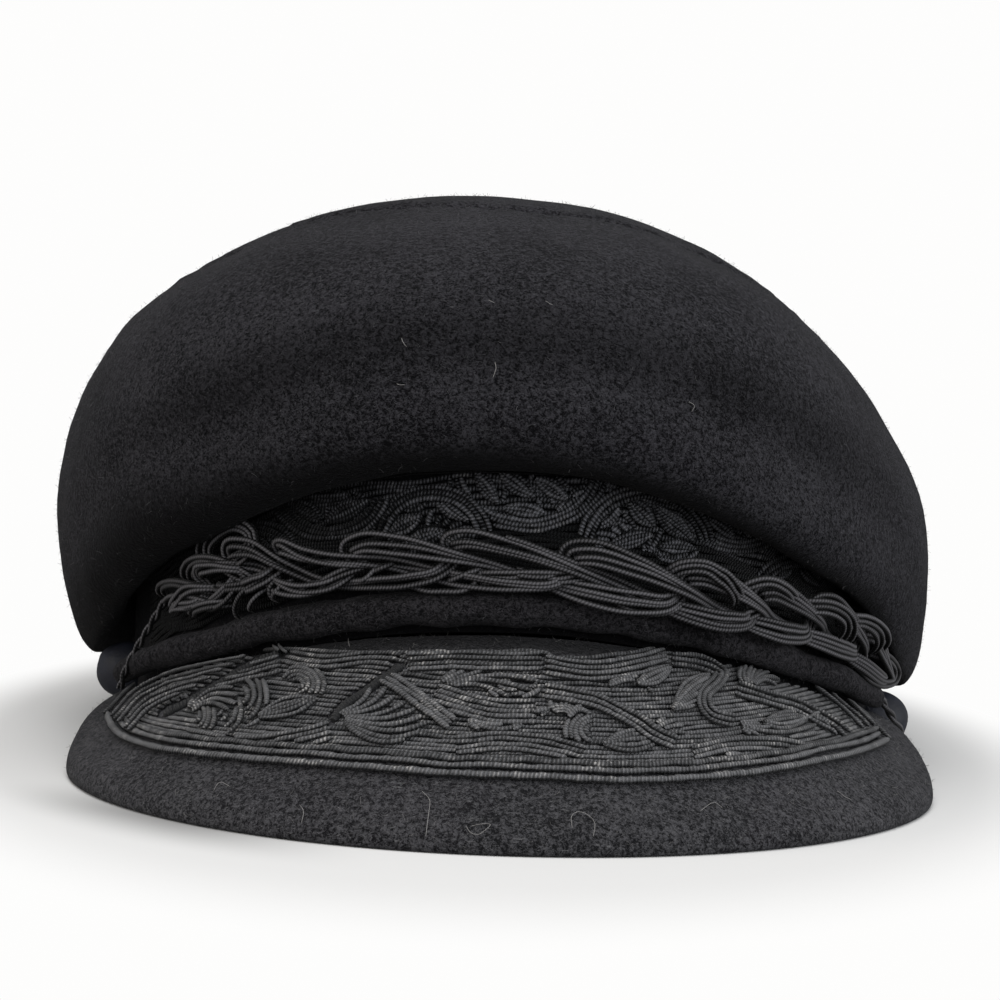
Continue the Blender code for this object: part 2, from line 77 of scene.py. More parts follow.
# Camera, fitted to the photograph
CAMERA_FROM_HEAD = Vector((-0.0018, -0.515, 0.072))
AIM_FROM_HEAD = Vector((-0.0018, 0.0, 0.0523))
LENS = 82.0
SENSOR = 36.0
CAMERA_ROLL = math.radians(2.0)
PHOTO = 1000


# Curves and places

def curve_value(xs, ys, x):
    """Height at x of the smooth curve through the points (xs, ys)."""
    xs = np.asarray(xs, float)
    ys = np.asarray(ys, float)
    slopes = np.gradient(ys, xs)
    i = int(np.clip(np.searchsorted(xs, x) - 1, 0, len(xs) - 2))
    step = xs[i + 1] - xs[i]
    t = np.clip((x - xs[i]) / step, 0, 1)
    start = (1 + 2 * t) * (1 - t) ** 2 * ys[i] + t * (1 - t) ** 2 * step * slopes[i]
    end = t * t * (3 - 2 * t) * ys[i + 1] + t * t * (t - 1) * step * slopes[i + 1]
    return float(start + end)


def smooth_step(t):
    t = min(1.0, max(0.0, t))
    return t * t * (3 - 2 * t)


def band_radius(angle, inset=0.0):
    side = math.sin(math.radians(angle)) / (HALF_WIDTH - inset)
    fore = math.cos(math.radians(angle)) / (HALF_LENGTH - inset)
    return 1 / math.hypot(side, fore)


def rim_height(angle):
    """Height of the band's lower edge, which arches up over the forehead."""
    y = -band_radius(angle, BAND_WALL) * math.cos(math.radians(angle))
    share = (RIM_FLAT_FROM - y) / (RIM_FLAT_FROM + HALF_LENGTH - BAND_WALL)
    return RIM_RISE * max(0.0, share) ** RIM_CURVE


def at_band(angle, out, height):
    """Point beside the band, out beyond its outer face."""
    radius = band_radius(angle) + out
    turn = math.radians(angle)
    return HEAD_CENTRE + Vector((radius * math.sin(turn), -radius * math.cos(turn), height))


def band_way(angle):
    """The way straight out from the band at an angle."""
    return at_band(angle, 1.0, 0.0) - at_band(angle, 0.0, 0.0)


def turn_at(place):
    """Angle round the head at a place, in degrees."""
    return math.degrees(math.atan2(place[0] - HEAD_CENTRE.x, HEAD_CENTRE.y - place[1]))


def turns_of(places):
    """Angles round the head of an array of places, in degrees."""
    return np.degrees(np.arctan2(places[:, 0] - HEAD_CENTRE.x, HEAD_CENTRE.y - places[:, 1]))


def turn_gap(turns, turn):
    """How far angles round the head are from one angle, from -180 to 180 degrees."""
    return (turns - turn + 180) % 360 - 180


def out_of_band(place):
    """How far a place is out beyond the band's outer face."""
    return math.hypot(place[0] - HEAD_CENTRE.x, HEAD_CENTRE.y - place[1]) - band_radius(turn_at(place))


def smooth_line(points, step):
    """Points a step apart along the smooth curve through the given ones, which have any dimension."""
    given = np.asarray(points, float)
    if len(given) == 2:
        given = np.array([given[0], given.mean(axis=0), given[1]])
    ends = np.vstack([2 * given[0] - given[1], given, 2 * given[-1] - given[-2]])
    dense = []
    for i in range(1, len(ends) - 2):
        p0, p1, p2, p3 = ends[i - 1:i + 3]
        for t in np.linspace(0, 1, 12, endpoint=False):
            dense.append(0.5 * (2 * p1 + (p2 - p0) * t + (2 * p0 - 5 * p1 + 4 * p2 - p3) * t * t
                                + (3 * p1 - p0 - 3 * p2 + p3) * t ** 3))
    dense.append(given[-1])
    dense = np.array(dense)
    lengths = np.concatenate([[0], np.cumsum(np.linalg.norm(np.diff(dense, axis=0), axis=1))])
    count = max(2, int(round(lengths[-1] / step)) + 1)
    at = np.linspace(0, lengths[-1], count)
    return np.stack([np.interp(at, lengths, dense[:, k]) for k in range(dense.shape[1])], axis=1)


def beside(line, gap):
    """A flat line moved sideways by gap, to its left as it runs with y down the picture."""
    line = np.asarray(line, float)
    ahead = np.gradient(line, axis=0)
    ahead /= np.linalg.norm(ahead, axis=1)[:, None] + 1e-12
    return line + np.stack([ahead[:, 1], -ahead[:, 0]], axis=1) * gap


def arc(centre, radius, first, last, squash):
    """Points of an arc in the picture from one angle to another, in degrees, 90 at the top."""
    count = max(4, int(abs(last - first) / 12) + 2)
    return [(centre[0] + radius * math.cos(a), centre[1] - radius * squash * math.sin(a))
            for a in np.linspace(math.radians(first), math.radians(last), count)]


def split_runs(points, keep, least=4):
    """The kept points as unbroken runs, without those of fewer points than least."""
    runs = [[]]
    for point, kept in zip(points, keep):
        if kept:
            runs[-1].append(point)
        elif runs[-1]:
            runs.append([])
    return [run for run in runs if len(run) >= least]


# The camera and its rays

def camera_frame():
    """Where the camera stands and how it is turned."""
    place = HEAD_CENTRE + CAMERA_FROM_HEAD
    toward = (HEAD_CENTRE + AIM_FROM_HEAD - place).normalized()
    turn = toward.to_track_quat("-Z", "Y") @ Quaternion((0, 0, 1), CAMERA_ROLL)
    return place, turn


EYE, EYE_TURN = camera_frame()


def ray(x, y):
    """Direction from the camera through a point of the photograph."""
    scale = SENSOR / LENS / PHOTO
    direction = Vector(((x - PHOTO / 2) * scale, (PHOTO / 2 - y) * scale, -1.0))
    return (EYE_TURN @ direction).normalized()


class Ground:
    """A surface that the camera's rays are carried to, from one or more objects' meshes."""

    def __init__(self, *objects):
        points = []
        faces = []
        for thing in objects:
            first = len(points)
            points += [vertex.co.copy() for vertex in thing.data.vertices]
            faces += [tuple(first + i for i in face.vertices) for face in thing.data.polygons]
        self.tree = BVHTree.FromPolygons(points, faces)

    def under(self, x, y):
        """Where the ray through a point of the photograph meets the surface, and the way out."""
        place, normal, _, _ = self.tree.ray_cast(EYE, ray(x, y))
        if place is None:
            return None
        if normal.dot(ray(x, y)) > 0:
            normal = -normal
        return place, normal

    def carry(self, line, lift):
        """The points of a picture line that meet the surface, lifted off it, as unbroken runs."""
        found = [self.under(x, y) for x, y in line]
        points = [hit and (hit[0] + hit[1] * raised, hit[1])
                  for hit, raised in zip(found, np.broadcast_to(lift, len(line)))]
        return split_runs(points, found)


# Meshes

MERGE_GAP = 0.00001
QUAD_ANGLE = math.radians(50)
SMOOTH_LEVELS = 2

def new_object(name, mesh, material):
    mesh.name = name
    mesh.materials.clear()
    mesh.materials.append(material)
    made = bpy.data.objects.new(name, mesh)
    bpy.context.scene.collection.objects.link(made)
    return made


def settle(thing, slot, *nodes):
    """Joins a finished piece to the frame: it rides on the cap, and stands for CAD nodes."""
    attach(thing, ROOT)
    if nodes:
        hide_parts(*nodes)


def worked_mesh(mesh, kind, prepare):
    """What a modifier makes of a mesh, as a mesh of its own. prepare sets the modifier up."""
    holder = bpy.data.objects.new("holder", mesh)
    bpy.context.scene.collection.objects.link(holder)
    prepare(holder.modifiers.new("worker", kind))
    depsgraph = bpy.context.evaluated_depsgraph_get()
    made = bpy.data.meshes.new_from_object(holder.evaluated_get(depsgraph), depsgraph=depsgraph)
    bpy.data.objects.remove(holder, do_unlink=True)
    return made


def smooth_copy(node, crease_angle=None):
    """A copy of a CAD node's mesh as clean quads, subdivided smooth."""
    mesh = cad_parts[node].data.copy()
    work = bmesh.new()
    work.from_mesh(mesh)
    bmesh.ops.remove_doubles(work, verts=work.verts, dist=MERGE_GAP)
    bmesh.ops.join_triangles(work, faces=work.faces, angle_face_threshold=QUAD_ANGLE,
                             angle_shape_threshold=QUAD_ANGLE)
    if crease_angle is not None:
        layer = work.edges.layers.float.new("crease_edge")
        for edge in work.edges:
            if edge.is_manifold and edge.calc_face_angle() > math.radians(crease_angle):
                edge[layer] = 0.8
    bmesh.ops.recalc_face_normals(work, faces=work.faces)
    work.to_mesh(mesh)
    work.free()

    def set_levels(smooth):
        smooth.levels = smooth.render_levels = SMOOTH_LEVELS

    smoothed = worked_mesh(mesh, "SUBSURF", set_levels)
    smoothed.shade_smooth()
    return smoothed


def vertex_arrays(mesh):
    """Places and normals of a mesh's vertices."""
    arrays = []
    for field in ("co", "normal"):
        values = np.empty(len(mesh.vertices) * 3)
        mesh.vertices.foreach_get(field, values)
        arrays.append(values.reshape(-1, 3))
    return arrays


def set_places(mesh, places):
    mesh.vertices.foreach_set("co", places.astype(np.float32).ravel())
    mesh.update()


def put_attribute(mesh, name, values, domain="POINT"):
    """Stores numbers, or ways given as threes of numbers, as a named attribute of a mesh."""
    values = np.asarray(values, np.float32)
    kind, field = ("FLOAT", "value") if values.ndim == 1 else ("FLOAT_VECTOR", "vector")
    mesh.attributes.new(name, kind, domain).data.foreach_set(field, values.ravel())


def waves(places, size, seed):
    """Smooth uneven values from -1 to 1 over points in space, with humps about size across."""
    count = 5
    chance = np.random.default_rng(seed)
    total = np.zeros(len(places))
    for _ in range(count):
        way = chance.normal(size=3)
        way /= np.linalg.norm(way)
        total += np.sin(places @ way * (2 * math.pi / (size * chance.uniform(0.7, 1.5)))
                        + chance.uniform(0, 2 * math.pi))
    return total / count * 1.4


# Node trees

class Nodes:
    """Adds nodes to one tree and joins them. Most calls give back an output to put into other nodes."""

    def __init__(self, tree):
        self.tree = tree

    def fill(self, node, inputs):
        """Puts values or other nodes' outputs into a node's inputs. None leaves one as it is."""
        for key, value in inputs.items():
            if isinstance(value, bpy.types.NodeSocket):
                self.tree.links.new(value, node.inputs[key])
            elif value is not None:
                node.inputs[key].default_value = value
        return node

    def add(self, kind, inputs=None, **settings):
        node = self.tree.nodes.new(kind)
        for name, value in settings.items():
            setattr(node, name, value)
        return self.fill(node, inputs or {})

    def calc(self, operation, *values):
        return self.add("ShaderNodeMath", dict(enumerate(values)), operation=operation).outputs["Value"]

    def times(self, first, second):
        return self.calc("MULTIPLY", first, second)

    # For geometry

    def named(self, name, kind="FLOAT"):
        """The values of a mesh's named attribute."""
        node = self.add("GeometryNodeInputNamedAttribute", {"Name": name}, data_type=kind)
        return node.outputs["Attribute"]

    def store(self, geometry, name, value, kind="FLOAT", domain="POINT"):
        """The geometry with a value kept on it as a named attribute."""
        inputs = {"Geometry": geometry, "Name": name, "Value": value}
        return self.add("GeometryNodeStoreNamedAttribute", inputs, data_type=kind,
                        domain=domain).outputs["Geometry"]

    def random(self, kind, low, high, seed):
        """A value between low and high, drawn anew for each element."""
        node = self.add("FunctionNodeRandomValue", {"Seed": seed}, data_type=kind)
        bounds = [socket for socket in node.inputs if socket.enabled and socket.name in ("Min", "Max")]
        for socket, value in zip(bounds, (low, high)):
            socket.default_value = value
        return [socket for socket in node.outputs if socket.enabled][0]

    def turned(self, rotation, axis, angle):
        """A rotation turned further about one of its own axes."""
        more = self.add("FunctionNodeAxisAngleToRotation", {"Axis": axis, "Angle": angle})
        inputs = {"Rotation": rotation, "Rotate By": more.outputs["Rotation"]}
        return self.add("FunctionNodeRotateRotation", inputs, rotation_space="LOCAL").outputs["Rotation"]

    # For materials

    def place(self):
        """Place in the object's own frame, in metres."""
        return self.add("ShaderNodeTexCoord").outputs["Object"]

    def attribute(self, name, output="Fac"):
        return self.add("ShaderNodeAttribute", attribute_name=name).outputs[output]

    def noise(self, vector, scale, detail=3.0, rough=0.6, distortion=0.0):
        inputs = {"Vector": vector, "Scale": scale, "Detail": detail, "Roughness": rough,
                  "Distortion": distortion}
        return self.add("ShaderNodeTexNoise", inputs).outputs["Fac"]

    def ramp(self, value, *stops):
        """A change between two stops, each a position and a colour or a grey."""
        node = self.add("ShaderNodeValToRGB", {"Fac": value})
        for element, (position, colour) in zip(node.color_ramp.elements, stops):
            element.position = position
            element.color = (*colour, 1.0) if np.ndim(colour) else (colour, colour, colour, 1.0)
        return node.outputs["Color"]

    def mix(self, share, first, colour):
        """An output mixed with a plain colour."""
        inputs = {0: share, 6: first, 7: (*colour, 1.0)}
        return self.add("ShaderNodeMix", inputs, data_type="RGBA").outputs[2]

    def bump(self, height, distance, strength=1.0, under=None):
        inputs = {"Height": height, "Distance": distance, "Strength": strength, "Normal": under}
        return self.add("ShaderNodeBump", inputs).outputs["Normal"]

    def strokes(self, turn, long_scale, short_scale):
        """Short strokes that all lie one way, like wool fibres pressed into felt."""
        scale = (long_scale, short_scale, short_scale)
        mapping = self.add("ShaderNodeMapping", {"Vector": self.place(), "Rotation": turn, "Scale": scale})
        return self.noise(mapping.outputs["Vector"], 1.0, 2.0, 0.55, 0.5)

    def oval(self, vector, middle, reach):
        """1 on the edge of a flat oval, and more outside it."""
        mapping = self.add("ShaderNodeMapping", {
            "Vector": vector,
            "Location": (-middle[0] / reach[0], -middle[1] / reach[1], 0.0),
            "Scale": (1 / reach[0], 1 / reach[1], 1.0),
        })
        length = self.add("ShaderNodeVectorMath", {0: mapping.outputs["Vector"]}, operation="LENGTH")
        return length.outputs["Value"]

    def fade(self, value, first, last, start=0.0, end=1.0):
        """Smooth change from start to end while a value goes from first to last."""
        inputs = {"Value": value, "From Min": first, "From Max": last, "To Min": start, "To Max": end}
        return self.add("ShaderNodeMapRange", inputs, interpolation_type="SMOOTHSTEP").outputs["Result"]

    def mix_shader(self, share, first, second):
        return self.add("ShaderNodeMixShader", {0: share, 1: first, 2: second}).outputs["Shader"]

    def diffuse(self, *colour):
        return self.add("ShaderNodeBsdfDiffuse", {"Color": (*colour, 1.0)}).outputs["BSDF"]

    def seen_by_camera(self):
        return self.add("ShaderNodeLightPath").outputs["Is Camera Ray"]


def new_tree(name, inputs):
    """An empty geometry tree with a mesh coming in and named inputs, and its inputs."""
    tree = bpy.data.node_groups.new(name, "GeometryNodeTree")
    tree.interface.new_socket("Geometry", in_out="INPUT", socket_type="NodeSocketGeometry")
    for label, kind, value in inputs:
        socket = tree.interface.new_socket(label, in_out="INPUT", socket_type="NodeSocket" + kind)
        socket.default_value = value
    tree.interface.new_socket("Finish", in_out="INPUT", socket_type="NodeSocketMaterial")
    tree.interface.new_socket("Geometry", in_out="OUTPUT", socket_type="NodeSocketGeometry")
    graph = Nodes(tree)
    return graph, graph.add("NodeGroupInput").outputs


def end_tree(graph, geometry, finish):
    """Makes a tree's instances real, gives them their material and sends them out."""
    real = graph.add("GeometryNodeRealizeInstances", {"Geometry": geometry})
    inputs = {"Geometry": real.outputs["Geometry"], "Material": finish}
    painted = graph.add("GeometryNodeSetMaterial", inputs)
    graph.add("NodeGroupOutput", {"Geometry": painted.outputs["Geometry"]})
    return graph.tree


def grow(mesh, tree, name, material, **values):
    """Runs a tree on a mesh and gives back what it makes as a plain object."""
    values["Finish"] = material

    def set_inputs(worker):
        worker.node_group = tree
        for item in tree.interface.items_tree:
            if item.in_out == "INPUT" and item.name in values:
                worker[item.identifier] = values[item.name]

    return new_object(name, worked_mesh(mesh, "NODES", set_inputs), material)


# Cords

# Thickness of a cord at its very ends, and how much its shade varies for each unit of unevenness
CORD_END = 0.6
SPECKLE = 2.4


def cord_tree():
    """Cords along the edges of a mesh: an oval section, turned to face each point's way out."""
    graph, given = new_tree("cords_along_paths", (
        ("Width", "Float", 0.001), ("Depth", "Float", 0.001), ("Sides", "Int", 6),
    ))
    curve = graph.add("GeometryNodeMeshToCurve", {"Mesh": given["Geometry"]})
    facing = {"Curve": curve.outputs["Curve"], "Normal": graph.named("way_out", "FLOAT_VECTOR")}
    turned = graph.add("GeometryNodeSetCurveNormal", facing, mode="FREE")
    along = graph.add("GeometryNodeSplineParameter").outputs["Length"]
    path = graph.store(turned.outputs["Curve"], "along", along)
    circle = graph.add("GeometryNodeCurvePrimitiveCircle", {"Radius": 0.5, "Resolution": given["Sides"]})
    place = graph.add("GeometryNodeInputPosition").outputs["Position"]
    section = graph.store(circle.outputs["Curve"], "section", place, "FLOAT_VECTOR")
    size = graph.add("ShaderNodeCombineXYZ", {"X": given["Depth"], "Y": given["Width"], "Z": 1.0})
    oval = graph.add("GeometryNodeTransform", {"Geometry": section, "Scale": size.outputs["Vector"]})
    swept = graph.add("GeometryNodeCurveToMesh", {
        "Curve": path, "Profile Curve": oval.outputs["Geometry"], "Scale": graph.named("thick"),
        "Fill Caps": True,
    })
    return end_tree(graph, swept.outputs["Mesh"], given["Finish"])


def lay_cords(name, runs, material, width, depth, sides, uneven=0.0):
    """One object of many cords. Each run has points, as places and ways out, a tone that may hold painted
    shade, and a thickness as a share of the width."""
    chance = np.random.default_rng(len(runs))
    places, edges, ways, shades, thick = [], [], [], [], []
    for run in runs:
        first = len(places)
        points = run["points"]
        count = len(points)
        speckle = chance.normal(0, SPECKLE * uneven, count)
        lumps = 1 + chance.normal(0, uneven, count).clip(-2 * uneven, 2 * uneven)
        shades += list(np.broadcast_to(run["shade"], count) + speckle)
        for i, (place, way) in enumerate(points):
            places.append(tuple(place))
            ways.append(tuple(way))
            ending = 1.0 if 0 < i < count - 1 else CORD_END
            thick.append(run.get("thick", 1.0) * ending * lumps[i])
        edges += [(first + i, first + i + 1) for i in range(count - 1)]
    mesh = bpy.data.meshes.new(name + "_paths")
    mesh.from_pydata(places, edges, [])
    put_attribute(mesh, "way_out", ways)
    put_attribute(mesh, "cord_shade", shades)
    put_attribute(mesh, "thick", thick)
    made = grow(mesh, cord_tree(), name, material, Width=width, Depth=depth, Sides=sides)
    made.data.shade_smooth()
    return made


# Materials

# Ways that the pressed fibres of felt lie, as turns about X, Y and Z
FIBRE_TURNS = ((0.3, 0.4, 0.2), (1.2, 0.3, 1.1), (0.5, 1.4, 2.2), (1.9, 0.9, 0.1), (0.2, 0.2, 1.7))


def new_material(name):
    material = bpy.data.materials.new(name)
    material.use_nodes = True
    return material, Nodes(material.node_tree), material.node_tree.nodes["Principled BSDF"]


def felt_material(name, dark, light, fleck, nap=1.0, sheen=0.02, grain=0.10):
    """Brushed wool felt: uneven dye, pressed fibres that cross, a rough nap, a soft sheen, and painted shade
    or painted light from the deep_shade attribute.
    """
    material, graph, shader = new_material(name)
    place = graph.place()
    clouds = graph.noise(place, 38.0, 4.0, 0.65)
    mottle = graph.noise(place, 1150.0, 2.0, 0.6, 0.6)
    tufts = graph.noise(place, 2500.0, 2.0, 0.6, 0.8)
    fibres = 0.0
    for turn in FIBRE_TURNS:
        fibres = graph.calc("MAXIMUM", fibres, graph.strokes(turn, 650.0 / nap, 2600.0 / nap))
    spread = graph.calc("ADD", graph.times(clouds, 0.16), graph.times(mottle, 0.42))
    spread = graph.calc("ADD", spread, graph.times(tufts, 0.42))
    ground = graph.ramp(spread, (0.51 - grain, dark), (0.51 + grain, light))
    shown = graph.ramp(fibres, (0.66, 0.0), (0.80, 1.0))
    colour = graph.mix(graph.times(shown, 0.8), ground, fleck)
    # Painted shade: the colour is scaled by one minus deep_shade, so it darkens where shade falls and, below
    # 0, lightens as painted light
    lit = graph.calc("SUBTRACT", 1.0, graph.attribute("deep_shade"))
    shaded = graph.add("ShaderNodeVectorMath", {"Vector": colour, "Scale": lit}, operation="SCALE")
    soft = graph.bump(clouds, 0.0008, 0.5)
    nap_bump = graph.bump(mottle, 0.00050 * nap, 1.0, soft)
    tuft_bump = graph.bump(tufts, 0.00026 * nap, 1.0, nap_bump)
    graph.fill(shader, {
        "Base Color": shaded.outputs["Vector"],
        "Roughness": graph.ramp(mottle, (0.3, 0.88), (0.7, 1.0)),
        "Normal": graph.bump(fibres, 0.00012 * nap, 0.8, tuft_bump),
        "Sheen Weight": sheen,
        "Sheen Roughness": 0.5,
        "Sheen Tint": (0.85, 0.85, 0.9, 1.0),
        "Specular IOR Level": 0.05,
    })
    return material


def cord_material(name, dark, light, worn, pitch, plies, relief, rough, wear, gloss=0.3, shade_below=0.0):
    """Twisted cord: ribs wind round it, each run has its own tone, some of it painted shade, its sides and
    the grooves between its ribs get painted shade, and its top is worn lighter.
    """
    material, graph, shader = new_material(name)
    calc, times, ramp = graph.calc, graph.times, graph.ramp
    place = graph.place()
    shade = graph.attribute("cord_shade")
    section = graph.add("ShaderNodeSeparateXYZ", {"Vector": graph.attribute("section", "Vector")})
    cosine = times(section.outputs["X"], 2.0)
    sine = times(section.outputs["Y"], 2.0)
    if plies == 2:
        cosine, sine = (calc("SUBTRACT", times(cosine, cosine), times(sine, sine)),
                        times(times(cosine, sine), 2.0))
    wander = times(graph.noise(place, 900.0, 1.0), 2.2)
    phase = calc("ADD", wander, times(graph.attribute("along"), 2 * math.pi / pitch))
    ribs = calc("ADD", times(calc("SINE", phase), cosine), times(calc("COSINE", phase), sine))
    height = calc("MULTIPLY_ADD", ribs, 0.5, 0.5)
    grain = graph.noise(place, 2600.0, 2.0)
    patches = graph.noise(place, 90.0, 3.0, 0.6)
    specks = graph.noise(place, 700.0, 2.0, 0.6)
    # Painted shade: the cord is darker on its sides and back than on its outer face, darker in the grooves
    # between its ribs, and darker where its run's tone holds painted shade; no wear shows on such runs
    outward = ramp(section.outputs["X"], (shade_below, 0.05), (0.48, 1.0))
    tone = times(calc("ADD", times(height, 0.55), times(shade, 0.45)), outward)
    ground = ramp(tone, (0.08, dark), (0.86, light))
    rubbed = times(ramp(patches, (0.45, 0.0), (0.66, 1.0)), ramp(specks, (0.50, 0.0), (0.62, 1.0)))
    rubbed = times(times(rubbed, outward), times(height, wear))
    rubbed = times(rubbed, ramp(shade, (0.0, 0.0), (0.2, 1.0)))
    graph.fill(shader, {
        "Base Color": graph.mix(rubbed, ground, worn),
        "Roughness": ramp(height, (0.0, min(1.0, rough + 0.15)), (1.0, rough)),
        "Normal": graph.bump(grain, relief * 0.35, 0.6, graph.bump(height, relief)),
        "Specular IOR Level": gloss,
        "Sheen Weight": 0.03,
        "Sheen Roughness": 0.4,
    })
    return material


def cloth_material(name, dark, light):
    """Smooth close cloth over a button, with a fine weave."""
    material, graph, shader = new_material(name)
    place = graph.place()
    patches = graph.noise(place, 160.0, 3.0)
    weave = graph.add("ShaderNodeTexVoronoi", {"Vector": place, "Scale": 3600.0}).outputs["Distance"]
    graph.fill(shader, {
        "Base Color": graph.ramp(patches, (0.35, dark), (0.7, light)),
        "Roughness": graph.ramp(patches, (0.3, 0.55), (0.7, 0.7)),
        "Normal": graph.bump(weave, 0.00006, 0.7, graph.bump(patches, 0.0006, 0.6)),
        "Specular IOR Level": 0.25,
    })
    return material


def fibre_material(name, dark, light):
    """Loose wool fibres, some of them lighter."""
    material, graph, shader = new_material(name)
    graph.fill(shader, {
        "Base Color": graph.ramp(graph.attribute("cord_shade"), (0.55, dark), (0.95, light)),
        "Roughness": graph.ramp(graph.noise(graph.place(), 500.0), (0.3, 0.6), (0.7, 0.8)),
    })
    return material


# Felt pieces

# Height from which the cap's faces are told to look out or in
MIDDLE_HEIGHT = 0.045
# The darkest that felt is painted, as a share of its colour taken away
DEEPEST = 0.95


def outward_ways(places, normals):
    """The normals, turned so that both faces of a thin wall move the same way."""
    middle = np.array((HEAD_CENTRE.x, HEAD_CENTRE.y, MIDDLE_HEIGHT))
    side = np.sign(np.einsum("ij,ij->i", normals, places - middle))
    return normals * np.where(side == 0, 1.0, side)[:, None]


def set_deep_shade(mesh, values):
    """Paints shade into the felt at each vertex, as the share of its colour taken away. Below 0 it is painted
    light, lighter than the felt.
    """
    put_attribute(mesh, "deep_shade", values)


def height_over_lip(places, turns):
    """How far each place is over the crown's lower edge at its angle round the cap."""
    edge, _ = vertex_arrays(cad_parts["crown_side"].data)
    edge_turns = turns_of(edge)
    angles = np.arange(-180, 180, 5.0)
    lows = np.array([edge[np.abs(turn_gap(edge_turns, a)) < 4.5][:, 2].min() for a in angles])
    lows = (np.roll(lows, 1) + 2 * lows + np.roll(lows, -1)) / 4
    return places[:, 2] - np.interp(turns, angles, lows, period=360)


def seam_points():
    """Places along the crown's top seam, a few for each degree round it."""
    places, _ = vertex_arrays(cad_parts["crown_side"].data)
    turns = turns_of(places)
    found = []
    for turn in np.arange(-180, 180, 5.625):
        near = np.abs(turn_gap(turns, turn)) < 2.8
        if near.any():
            found.append(places[near][places[near][:, 2].argmax()])
    found.append(found[0])
    found = np.array(found)
    return np.concatenate([found[:-1] + (found[1:] - found[:-1]) * t for t in (0, 0.25, 0.5, 0.75)])


# Soft dents and swells of the crown: angle, height, breadth in degrees and in height, how far out, and how
# much painted shade darkens the felt there, or, below 0, how much painted light lightens it
CROWN_SWELLS = (
    (-40, 0.0880, 13, 0.0100, 0.0012, 0.0),
    (-62, 0.0620, 12, 0.0180, -0.0014, 0.0),
    (-52, 0.0760, 15, 0.0170, 0.0, -0.60),
    (-34, 0.0980, 16, 0.0110, 0.0, -0.45),
    (44, 0.0800, 12, 0.0160, -0.0010, 0.0),
    (66, 0.0560, 14, 0.0140, 0.0008, -0.15),
    (120, 0.0600, 20, 0.0140, -0.0010, 0.0),
    (-130, 0.0660, 22, 0.0140, -0.0009, 0.0),
    (180, 0.0600, 26, 0.0120, 0.0009, 0.0),
)
# Level swells over the front lip: height over it at the middle, rise for each degree aside, breadth in
# height, how far out, and how much painted shade darkens the felt there, or painted light lightens it below 0
LIP_SWELLS = (
    (0.0055, 0.00003, 0.0055, 0.0026, -0.20),
    (0.0095, 0.00003, 0.0055, 0.0000, -0.30),
    (0.0180, 0.00006, 0.0060, -0.0018, 0.12),
    (0.0245, 0.00008, 0.0060, 0.0000, 0.36),
)
# How far the painted shade under the lip reaches up, at angles round the crown
LIP_SHADE = (
    (-180, 0.003), (-110, 0.004), (-70, 0.014), (-46, 0.016), (-33, 0.013), (-20, 0.0080), (0, 0.0040),
    (25, 0.0045), (38, 0.0050), (60, 0.003), (110, 0.003), (180, 0.003),
)


# The puckered top seam: puckers round it, how deep and how far aside they reach, and the swell beside them
SEAM_PUCKERS = 74
SEAM_DEPTH = 0.0008
SEAM_REACH = 0.0045
SEAM_SWELL = 0.0005
SEAM_SWELL_AT = 0.0032
SEAM_SWELL_REACH = 0.0018


def seam_puckers(places, turns, seam):
    """How far the felt is drawn in along the top seam, and how far it swells beside it."""
    gap = np.min(np.linalg.norm(places[:, None, :] - seam[None, ::2, :], axis=2), axis=1)
    pucker = 0.5 + 0.5 * np.sin(np.radians(turns) * SEAM_PUCKERS + 2.5 * waves(places, 0.03, 5))
    pucker *= 0.6 + 0.4 * waves(places, 0.018, 6)
    return (SEAM_DEPTH * pucker * np.exp(-(gap / SEAM_REACH) ** 2),
            SEAM_SWELL * np.exp(-((gap - SEAM_SWELL_AT) / SEAM_SWELL_REACH) ** 2))


def shade_by_lip(deep, over, turns, ways):
    """The painted shade, made deeper close over the lip's edge and where the felt faces down."""
    reach = np.interp(turns, *np.array(LIP_SHADE).T)
    under = np.maximum(np.clip(1.15 - over / reach, 0, 1), np.clip((-ways[:, 2] - 0.55) / 0.35, 0, 1))
    near = DEEPEST * under * under * (3 - 2 * under)
    return np.maximum(deep, near) * (1 - under) + DEEPEST * under


def make_crown(sizes, body_material, top_material):
    seam = seam_points()
    for node, name, finish, slot in (
        ("crown_side", "crown_body", body_material, "crown_felt"),
        ("crown_tip", "crown_top", top_material, "tip_felt"),
    ):
        mesh = smooth_copy(node)
        places, normals = vertex_arrays(mesh)
        ways = outward_ways(places, normals)
        turns = turns_of(places)
        over = height_over_lip(places, turns)
        drawn_in, swell = seam_puckers(places, turns, seam)
        amount = sizes.felt_wave * (waves(places, 0.034, 1) + 0.35 * waves(places, 0.011, 2))
        amount = amount - drawn_in + swell
        # Painted shade and painted light of the swells, added to the painted shade under the lip below
        deep = np.zeros(len(places))
        for angle, height, wide, tall, out, darker in CROWN_SWELLS:
            near = np.exp(-(turn_gap(turns, angle) / wide) ** 2 - ((places[:, 2] - height) / tall) ** 2)
            amount += out * near
            deep += darker * near
        front = np.clip((62 - np.abs(turns)) / 26, 0, 1)
        for height, rise, tall, out, darker in LIP_SWELLS:
            near = front * np.exp(-((over - height - rise * np.abs(turns)) / tall) ** 2)
            amount += out * near
            deep += darker * near
        set_deep_shade(mesh, shade_by_lip(deep, over, turns, ways))
        low = np.clip((places[:, 2] - 0.012) / 0.01, 0.2, 1.0)
        set_places(mesh, places + ways * (amount * low)[:, None])
        settle(new_object(name, mesh, finish), slot, node)


